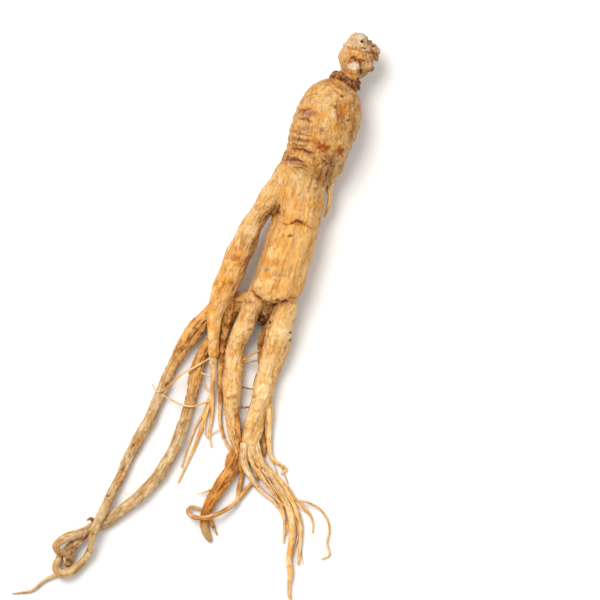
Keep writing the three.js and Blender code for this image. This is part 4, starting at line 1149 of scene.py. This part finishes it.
class GinsengSkinSettings(bpy.types.PropertyGroup):
    """How the root's skin is made and coloured."""

    cream: colour("cream", "Palest skin, on legs and strands")
    gold: colour("gold", "Main colour of the body")
    amber: colour("amber", "Deep stains on the body and on the tail of the left leg")
    ochre: colour("ochre", "Fine net of lines")
    rust: colour("rust", "Rusty spots")
    brown: colour("brown", "Bark")
    khaki: colour("khaki", "Pale skin of the long tails")
    fawn: colour("fawn", "Deep skin of the long tails")
    straw: colour("straw", "Pale skin of the crown")
    honey: colour("honey", "Deep skin of the crown")

    cell: FloatProperty(
        name="Skin cell", description="Width of the faces of the body's skin", default=0.0005,
        min=0.0003, max=0.002, precision=5, subtype="DISTANCE", unit="LENGTH",
    )
    crown_cell: FloatProperty(
        name="Crown cell", description="Width of the faces of the crown", default=0.00026,
        min=0.0002, max=0.001, precision=5, subtype="DISTANCE", unit="LENGTH",
    )
    arm_blend: FloatProperty(
        name="Arm blend", description="Width of the soft seam between body and arm", default=0.004,
        min=0.001, max=0.01, precision=4, subtype="DISTANCE", unit="LENGTH",
    )
    shoulder_rounding: FloatProperty(
        name="Shoulder rounding", description="How far the shoulder below the neck is rounded",
        default=0.004, min=0.0005, max=0.01, precision=4, subtype="DISTANCE", unit="LENGTH",
    )
    hip_rounding: FloatProperty(
        name="Hip rounding", description="How far the edge of the hips is rounded", default=0.0034,
        min=0.0005, max=0.01, precision=4, subtype="DISTANCE", unit="LENGTH",
    )
    leg_blend: FloatProperty(
        name="Leg blend", description="Width of the soft seam between body and legs", default=0.0007,
        min=0.0005, max=0.01, precision=4, subtype="DISTANCE", unit="LENGTH",
    )
    translucence: FloatProperty(
        name="Translucence", description="How much light spreads inside the skin", default=0.12,
        min=0, max=1, subtype="FACTOR",
    )


class GinsengStageSettings(bpy.types.PropertyGroup):
    """The floor, the light and the camera."""

    floor_colour: FloatVectorProperty(
        name="Floor", description="Colour of the floor", default=(0.88, 0.88, 0.88), size=3,
        min=0, max=1, subtype="COLOR",
    )
    key_power: FloatProperty(
        name="Key light", description="Power of the large light", default=15.0, min=0, max=200,
        unit="POWER",
    )
    fill_strength: FloatProperty(
        name="Fill", description="Strength of the light from all round", default=0.72, min=0, max=3,
    )


def take_colours(settings):
    """Puts the colours of the settings in the paint box."""
    for tone in TONES:
        if hasattr(settings, tone):
            PAINT[tone] = np.array(getattr(settings, tone))


def grow(name, grid, field, limbs, material):
    """A skin over the place where the field is 0, moved along its normals by its relief."""
    points, faces = grid.surface(field)
    points = grid.relaxed(field, points, faces)
    normals = grid.slope(field, points)
    relief, tint = grown_skin(points, normals, limbs)
    points = points + normals * relief[:, None]
    return make_piece(name, points, faces, {"tint": tint}, material)


class GINSENG_OT_trunk(bpy.types.Operator):
    """Grow the skin of the body, the arm and the legs"""

    bl_idname = "ginseng.trunk"
    bl_label = "Body, Arm and Legs"

    def execute(self, context):
        settings = context.scene.ginseng_skin
        take_colours(settings)
        cell = settings.cell / MM
        body, arm, left, right = (Strand(rows, LIMB_SPACING) for rows in (BODY, ARM, LEFT_LEG, RIGHT_LEG))
        foot, top = TRUNK_BLOCK["y"]
        lower = np.arange(foot, TRUNK_BLOCK["finer_from"], cell)
        upper = np.arange(TRUNK_BLOCK["finer_from"], top, TRUNK_BLOCK["finer"] * cell)
        across, height = np.arange(*TRUNK_BLOCK["x"], cell), np.arange(*TRUNK_BLOCK["z"], cell)
        grid = Grid(across, np.append(lower, upper), height)
        trunk = grid.strand_field(body)
        shoulder = (SHOULDER_EDGE, settings.shoulder_rounding, 1)
        hips = (HIP_EDGE, settings.hip_rounding, -1)
        for edge, rounding, way in (shoulder, hips):
            trunk = -soft_join(-trunk, -way * grid.past_edge(edge), rounding / MM)
        legs = soft_join(grid.strand_field(left), grid.strand_field(right), 0.6)
        field = soft_join(trunk, legs, settings.leg_blend / MM)
        grid.add_balls(field, turned(HIP_STUBS), blend=0.5)
        grid.add_balls(field, turned(SIDE_BASE), blend=2.0)
        armpit = settings.arm_blend / MM * (0.15 + 0.85 * smooth(grid.axes[1], -29, -15))
        field = soft_join(field, grid.strand_field(arm), armpit[None, :, None])
        limbs = [("body", body), ("arm", arm), ("leg", left), ("leg", right)]
        piece = grow("trunk_skin", grid, field, limbs, bark("root_bark", "Object", 1, settings))
        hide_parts(ROOT_NODE)
        return {"FINISHED"}


class GINSENG_OT_crown(bpy.types.Operator):
    """Grow the neck and the crown, with its buds, scars and papery scales"""

    bl_idname = "ginseng.crown"
    bl_label = "Crown"

    def execute(self, context):
        settings = context.scene.ginseng_skin
        take_colours(settings)
        cell = settings.crown_cell / MM
        grid = Grid(*(np.arange(*CROWN_BLOCK[axis], cell) for axis in "xyz"))
        field = grid.strand_field(Strand(NECK, 0.8))
        stub = Strand(STUB, 0.5)
        x, y, z = np.ix_(*grid.axes)
        cut = stub.centre[0] + stub.forward[-1] * STUB_LENGTH
        over = (x - cut[0]) * stub.forward[-1][0] + (y - cut[1]) * stub.forward[-1][1]
        over = over + (z - cut[2]) * stub.forward[-1][2]
        field = soft_join(field, -soft_join(-grid.strand_field(stub), -over, 0.4), 0.7)
        for *lobe, blend in turned(LOBES):
            grid.add_balls(field, [lobe], blend)
        for scale in SCALES:
            field = soft_join(field, grid.strand_field(Strand(scale, 0.4)), 0.25)
        grid.add_balls(field, collar_knobs(), blend=0.45)
        points, faces = grid.surface(field)
        points = grid.relaxed(field, points, faces)
        normals = grid.slope(field, points, 0.25)
        relief, tint = crown_skin(points, normals)
        points = points + normals * relief[:, None]
        material = bark("crown_bark", "Object", 1, settings, line=0.5)
        make_piece("crown", points, faces, {"tint": tint}, material)
        return {"FINISHED"}


def collar_knobs():
    """Balls of seeded sizes in two rings round the neck, whose plane leans in the layout."""
    draw = np.random.default_rng(COLLAR["seed"])
    count = COLLAR["knobs"]
    turn = 2 * math.pi * (np.arange(count) + draw.uniform(-0.4, 0.4, count)) / count
    lean = math.radians(COLLAR["lean"])
    row = np.arange(count) % 2
    size = draw.uniform(1.0, 2.0, (3, count))
    ring = (COLLAR["radius"] + 0.5 * row) * np.cos(turn)
    shift = draw.uniform(-0.6, 0.6, count) + np.where(row, -0.9, 0.9)
    x = COLLAR["centre"][0] + ring * math.cos(lean) - shift * math.sin(lean)
    y = COLLAR["centre"][1] + ring * math.sin(lean) + shift * math.cos(lean)
    z = COLLAR["centre"][2] + COLLAR["height"] * np.sin(turn)
    return turned(np.column_stack([x, y, z, *size]))


def past_line(seen, line):
    """How far places lie above a line of the layout, along its y."""
    return seen[:, 1] - np.interp(seen[:, 0], *np.array(line).T)


RIM = [(10, 46.6), (12.6, 46.2), (15.5, 45.7), (18.2, 45.2), (21, 44.1), (23.8, 43.7), (27, 43)]
COLLAR_TOP = [(4, 37.5), (8.1, 35.4), (11, 34.2), (13.5, 32.2), (16, 31.0), (19.4, 31.0), (24, 29)]
CROWN_SPOTS = [
    (11.6, 40.6, 2.2, 3.4, 0, "fawn", 0.6, 0.1), (12.4, 44.2, 1.4, 1.2, 0, "ash", 0.5, 0.0),
    (17.0, 42.0, 4.6, 2.7, -8, "honey", 0.9, -0.55), (16.2, 43.2, 2.0, 0.6, -10, "cream", 0.4, 0.1),
    # Painted shade: the shade spot at (17.4, 39.5) darkens the lower edge of the hollow saddle above the stub.
    (17.4, 39.5, 4.2, 1.1, -8, "shade", 0.7, -0.3), (12.4, 34.2, 2.4, 2.4, 0, "shade", 0.6, 0.0),
    (21.6, 33.2, 2.6, 1.8, 0, "olive", 0.4, 0.0), (10.8, 36.4, 1.2, 2.6, 15, "fawn", 0.6, 0.0),
    (19.6, 37.8, 0.9, 2.4, 15, "brown", 0.8, -0.3),
    (13.0, 37.4, 1.2, 2.4, 10, "brown", 0.45, 0.0), (11.6, 38.0, 1.0, 1.6, 20, "honey", 0.6, 0.0),
    (16.8, 33.4, 3.2, 2.4, 0, "ochre", 0.55, 0.0), (16.6, 36.4, 3.1, 1.9, 0, "white", 1.2, 0.0),
    (14.6, 38.2, 1.6, 0.8, 20, "rust", 0.8, 0.1), (18.6, 34.6, 0.9, 1.6, 0, "brown", 0.5, -0.1),
    (15.4, 33.4, 0.6, 1.8, 0, "brown", 0.5, -0.1), (13.8, 34.4, 1.4, 1.8, 0, "honey", 0.5, 0.0),
    (16.8, 49.2, 1.5, 1.1, 0, "rose", 0.5, 0.0), (15.6, 48.2, 0.9, 0.9, 0, "mauve", 0.5, 0.0),
    (19.7, 49.6, 1.9, 1.4, 0, "white", 1.4, 0.1), (20.0, 46.6, 1.4, 0.9, 0, "blush", 0.6, 0.1),
    (20.8, 47.6, 1.0, 0.95, 0, "dark", 1.25, -1.4), (20.9, 44.4, 1.5, 0.5, -10, "dark", 0.8, -0.3),
    (23.2, 47.0, 1.4, 1.1, 0, "shade", 0.85, 0.0), (24.9, 35.0, 0.9, 0.9, 0, "olive", 0.85, 0.0),
    (23.0, 37.4, 1.8, 1.8, 0, "cream", 0.5, 0.1), (19.7, 34.0, 1.0, 2.2, 5, "brown", 0.8, -0.3),
]
CROWN_CREASES = [
    (0.50, 0.35, 0.9, [(24.7, 45.2), (25.3, 42.4), (26.0, 39.4)]),
    (0.45, 0.35, 0.7, [(14.2, 38.6), (16.6, 40.2), (19.2, 38.6), (19.8, 36.4)]),
    (0.40, 0.30, 0.6, [(19.6, 34.6), (20.6, 33.0)]),
    (0.35, 0.30, 0.5, [(20.6, 39.6), (21.6, 37.8), (23.6, 38.6)]),
]


def crown_skin(points, normals):
    """The relief and the tint of the neck and the crown. The head is smooth, below a papery rim
    that stands proud all round it. Its right side is scaly: steps like a saw's, as deep as a slow
    ripple's fraction. The collar is craggy and dark. The groove under the rim, the steep sides and
    the undersides are painted darker as painted shade."""
    seen = as_seen(points)
    craggy = ripple(points, 3.0, 61)
    crumb = ripple(points, 1.5, 62)
    fine = ripple(points, 0.9, 65)
    streak = ripple(points, 1.5, 66, (1, 3.5, 1))
    scaly = smooth(seen[:, 0] + 0.8 * ripple(points, 5, 67), 19.8, 22.4)
    collar = 1 - smooth(past_line(seen, COLLAR_TOP) + 0.4 * craggy, -0.9, 0.5)
    dome = smooth(past_line(seen, RIM) + 0.3 * crumb, -0.2, 0.8)
    off_rim = past_line(seen, RIM) + 0.35 * crumb
    rim = np.exp(-((off_rim / 0.6) ** 2)) * (1 - collar)
    under = np.exp(-(((off_rim + 1.3) / 0.45) ** 2)) * (1 - collar)
    step = (0.55 * seen[:, 1] + 0.3 * seen[:, 0] + 0.9 * ripple(points, 4, 68)) % 1.0
    relief = 0.12 * craggy + 0.06 * crumb + 0.03 * fine + 0.08 * streak
    relief += scaly * (0.42 * step - 0.2) + collar * (0.22 * craggy + 0.16 * crumb)
    relief += 0.5 * rim - 0.3 * under + 0.12 * dome * streak
    tint = PAINT["straw"] * np.ones((len(points), 3))
    tint = mix(tint, PAINT["honey"], 0.55 + 0.35 * craggy + 0.25 * streak)
    tint = mix(tint, PAINT["ash"], 0.4 * smooth(crumb + 0.5 * fine, 0.1, 1.0))
    tint = mix(tint, PAINT["ash"], dome * (0.7 + 0.25 * streak))
    tint = mix(tint, PAINT["mauve"], 0.4 * dome * smooth(crumb - fine, 0.2, 1.2))
    scale_edge = 0.75 * smooth(0.3 - step, 0, 0.3) + 0.25 * smooth(streak, 0, 1)
    tint = mix(tint, PAINT["brown"], scaly * scale_edge)
    tint = mix(tint, PAINT["grey"], 0.45 * scaly * smooth(craggy, 0, 1))
    tint = mix(tint, PAINT["ash"], 0.85 * rim)
    # Painted shade: the groove just under the rim is painted brown.
    tint = mix(tint, PAINT["brown"], 0.6 * under)
    tint = mix(tint, PAINT["brown"], 0.45 * smooth(-crumb - 0.6 * fine - 0.5 * craggy, 0.2, 1.2))
    # Painted shade: the steep sides are painted towards fawn.
    tint = mix(tint, PAINT["fawn"], 0.7 * smooth(0.6 - normals[:, 2] + 0.2 * crumb, 0, 0.6))
    crest = smooth(0.5 * craggy + 0.6 * crumb + 0.5 * fine, -0.9, 1.1)
    scar = mix(PAINT["dark"] * np.ones((len(points), 3)), PAINT["shade"], 1.7 * crest)
    scar = mix(scar, PAINT["honey"], 0.7 * crest - 0.35)
    tint = tint + (scar - tint) * collar[:, None]
    # Painted shade: the undersides are painted brown.
    tint = mix(tint, PAINT["brown"], 0.4 * smooth(-normals[:, 2], 0.2, 0.8))
    facing = smooth(normals[:, 2], -0.05, 0.3)
    return relief_and_marks(seen, facing, relief, tint, points, CROWN_SPOTS, CROWN_CREASES)


class GINSENG_OT_tails(bpy.types.Operator):
    """Grow the two long tails and the tail of the left leg"""

    bl_idname = "ginseng.tails"
    bl_label = "Tails"

    def execute(self, context):
        take_colours(context.scene.ginseng_skin)
        material = bark("tail_bark", "grain", 0, context.scene.ginseng_skin)
        lines, kinds = [TAIL_A, TAIL_B, TAIL_KNOT], ["tan", "tan", "knot"]
        grow_tubes("long_tails", lines, kinds, material, TAIL_SPOTS, underside_shade=0.2)
        grow_tubes("leg_tail", [LEG_TAIL], ["rusty"], material, LEG_TAIL_SPOTS)
        return {"FINISHED"}


def wisps():
    """Fine strands along the foot's bundle. Each starts and stops at a seeded share of the line,
    sways to its sides as two sine waves, and splays outwards and down to its tip."""
    draw = np.random.default_rng(WISPS["seed"])
    line = np.array(WISP_LINE)
    station = np.linspace(0, 1, len(line))
    found = []
    for _ in range(WISPS["count"]):
        start, end = draw.uniform(0, 0.3), draw.uniform(0.5, 1.0)
        share = np.linspace(start, end, 8)
        phase, side, lean = draw.uniform(0, 2 * math.pi), draw.uniform(-1, 1), draw.choice([-1.0, 1.0])
        path = np.stack([np.interp(share, station, line[:, i]) for i in range(3)], 1)
        reach = (share - start) / (end - start)
        sway = WISPS["spread"] * (side + 0.3 * np.sin(9 * share + phase)) + WISPS["splay"] * lean * reach**4
        way = np.gradient(path[:, :2], axis=0)
        way /= np.linalg.norm(way, axis=1)[:, None]
        path[:, 0] += way[:, 1] * sway
        path[:, 1] -= way[:, 0] * sway
        width = WISPS["radius"] * (1 - 0.6 * reach)
        path[:, 2] = np.maximum(path[:, 2] * (1 - 0.5 * reach**3) - 0.5 * np.abs(sway), width)
        found.append([tuple(row) for row in np.column_stack([path, width])])
    return found


class GINSENG_OT_rootlets(bpy.types.Operator):
    """Grow the rootlets and the hairs"""

    bl_idname = "ginseng.rootlets"
    bl_label = "Rootlets"

    def execute(self, context):
        take_colours(context.scene.ginseng_skin)
        material = bark("rootlet_bark", "grain", 0, context.scene.ginseng_skin, 0.6)
        kinds = [ROOTLET_KINDS.get(number, "strand") for number in range(len(ROOTLETS))]
        grow_tubes("rootlets", ROOTLETS, kinds, material)
        kinds = [HAIR_KINDS.get(number, "strand") for number in range(len(HAIRS))]
        grow_tubes("root_hairs", HAIRS + wisps(), kinds + ["pale"] * WISPS["count"], material)
        return {"FINISHED"}


class GINSENG_OT_stage(bpy.types.Operator):
    """Set up the floor, the light and the camera"""

    bl_idname = "ginseng.stage"
    bl_label = "Stage"

    def execute(self, context):
        settings = context.scene.ginseng_stage
        scene = context.scene
        half, low = FLOOR_HALF, -FLOOR_DROP
        mesh = bpy.data.meshes.new("floor")
        corners = [(-half, -half, low), (half, -half, low), (half, half, low), (-half, half, low)]
        mesh.from_pydata(corners, [], [(0, 1, 2, 3)])
        floor = bpy.data.objects.new("floor", mesh)
        scene.collection.objects.link(floor)
        paper = Nodes("floor_paper")
        shader = paper.add("ShaderNodeBsdfPrincipled", Roughness=0.9)
        shader.inputs["Base Color"].default_value = (*settings.floor_colour, 1)
        shader.inputs["Specular IOR Level"].default_value = 0.1
        paper.add("ShaderNodeOutputMaterial", {"Surface": shader.outputs["BSDF"]})
        mesh.materials.append(paper.material)
        world = bpy.data.worlds.new("studio")
        world.use_nodes = True
        world.node_tree.nodes["Background"].inputs["Color"].default_value = (1.0, 0.985, 0.96, 1)
        world.node_tree.nodes["Background"].inputs["Strength"].default_value = settings.fill_strength
        scene.world = world
        key = bpy.data.lights.new("key", "AREA")
        key.energy = settings.key_power
        key.shape = "DISK"
        key.size = KEY_WIDTH
        key.color = (1.0, 0.97, 0.92)
        lamp = bpy.data.objects.new("key", key)
        lamp.location = KEY_PLACE
        lamp.rotation_euler = (-lamp.location).to_track_quat("-Z", "Y").to_euler()
        scene.collection.objects.link(lamp)
        camera = bpy.data.cameras.new("camera")
        camera.sensor_width = SENSOR_WIDTH
        camera.lens = SENSOR_WIDTH * CAMERA_HEIGHT / FRAME_WIDTH
        camera.clip_end = 20.0
        viewer = bpy.data.objects.new("camera", camera)
        foot = turned([(*CAMERA_FOOT, CAMERA_HEIGHT)])[0] * MM
        viewer.location = foot
        viewer.rotation_euler = (0, 0, BODY_LEAN)
        scene.collection.objects.link(viewer)
        scene.camera = viewer
        scene.view_settings.view_transform = "Standard"
        return {"FINISHED"}


class GINSENG_PT_panel(bpy.types.Panel):
    """Lists the pieces of the root"""

    bl_idname = "GINSENG_PT_panel"
    bl_label = "Ginseng Root"
    bl_space_type = "VIEW_3D"
    bl_region_type = "UI"
    bl_category = "Ginseng"

    def draw(self, context):
        for settings in (context.scene.ginseng_skin, context.scene.ginseng_stage):
            for key in settings.__annotations__:
                self.layout.prop(settings, key)
        for operator in OPERATORS:
            self.layout.operator(operator.bl_idname)


OPERATORS = (
    GINSENG_OT_trunk, GINSENG_OT_crown, GINSENG_OT_tails, GINSENG_OT_rootlets, GINSENG_OT_stage,
)
CLASSES = (GinsengSkinSettings, GinsengStageSettings, *OPERATORS, GINSENG_PT_panel)


def register():
    for cls in CLASSES:
        bpy.utils.register_class(cls)
    bpy.types.Scene.ginseng_skin = PointerProperty(type=GinsengSkinSettings)
    bpy.types.Scene.ginseng_stage = PointerProperty(type=GinsengStageSettings)


def unregister():
    del bpy.types.Scene.ginseng_skin
    del bpy.types.Scene.ginseng_stage
    for cls in reversed(CLASSES):
        bpy.utils.unregister_class(cls)


def main():
    register()
    bpy.ops.ginseng.trunk()
    bpy.ops.ginseng.crown()
    bpy.ops.ginseng.tails()
    bpy.ops.ginseng.rootlets()
    bpy.ops.ginseng.stage()


if __name__ == "__main__":
    main()
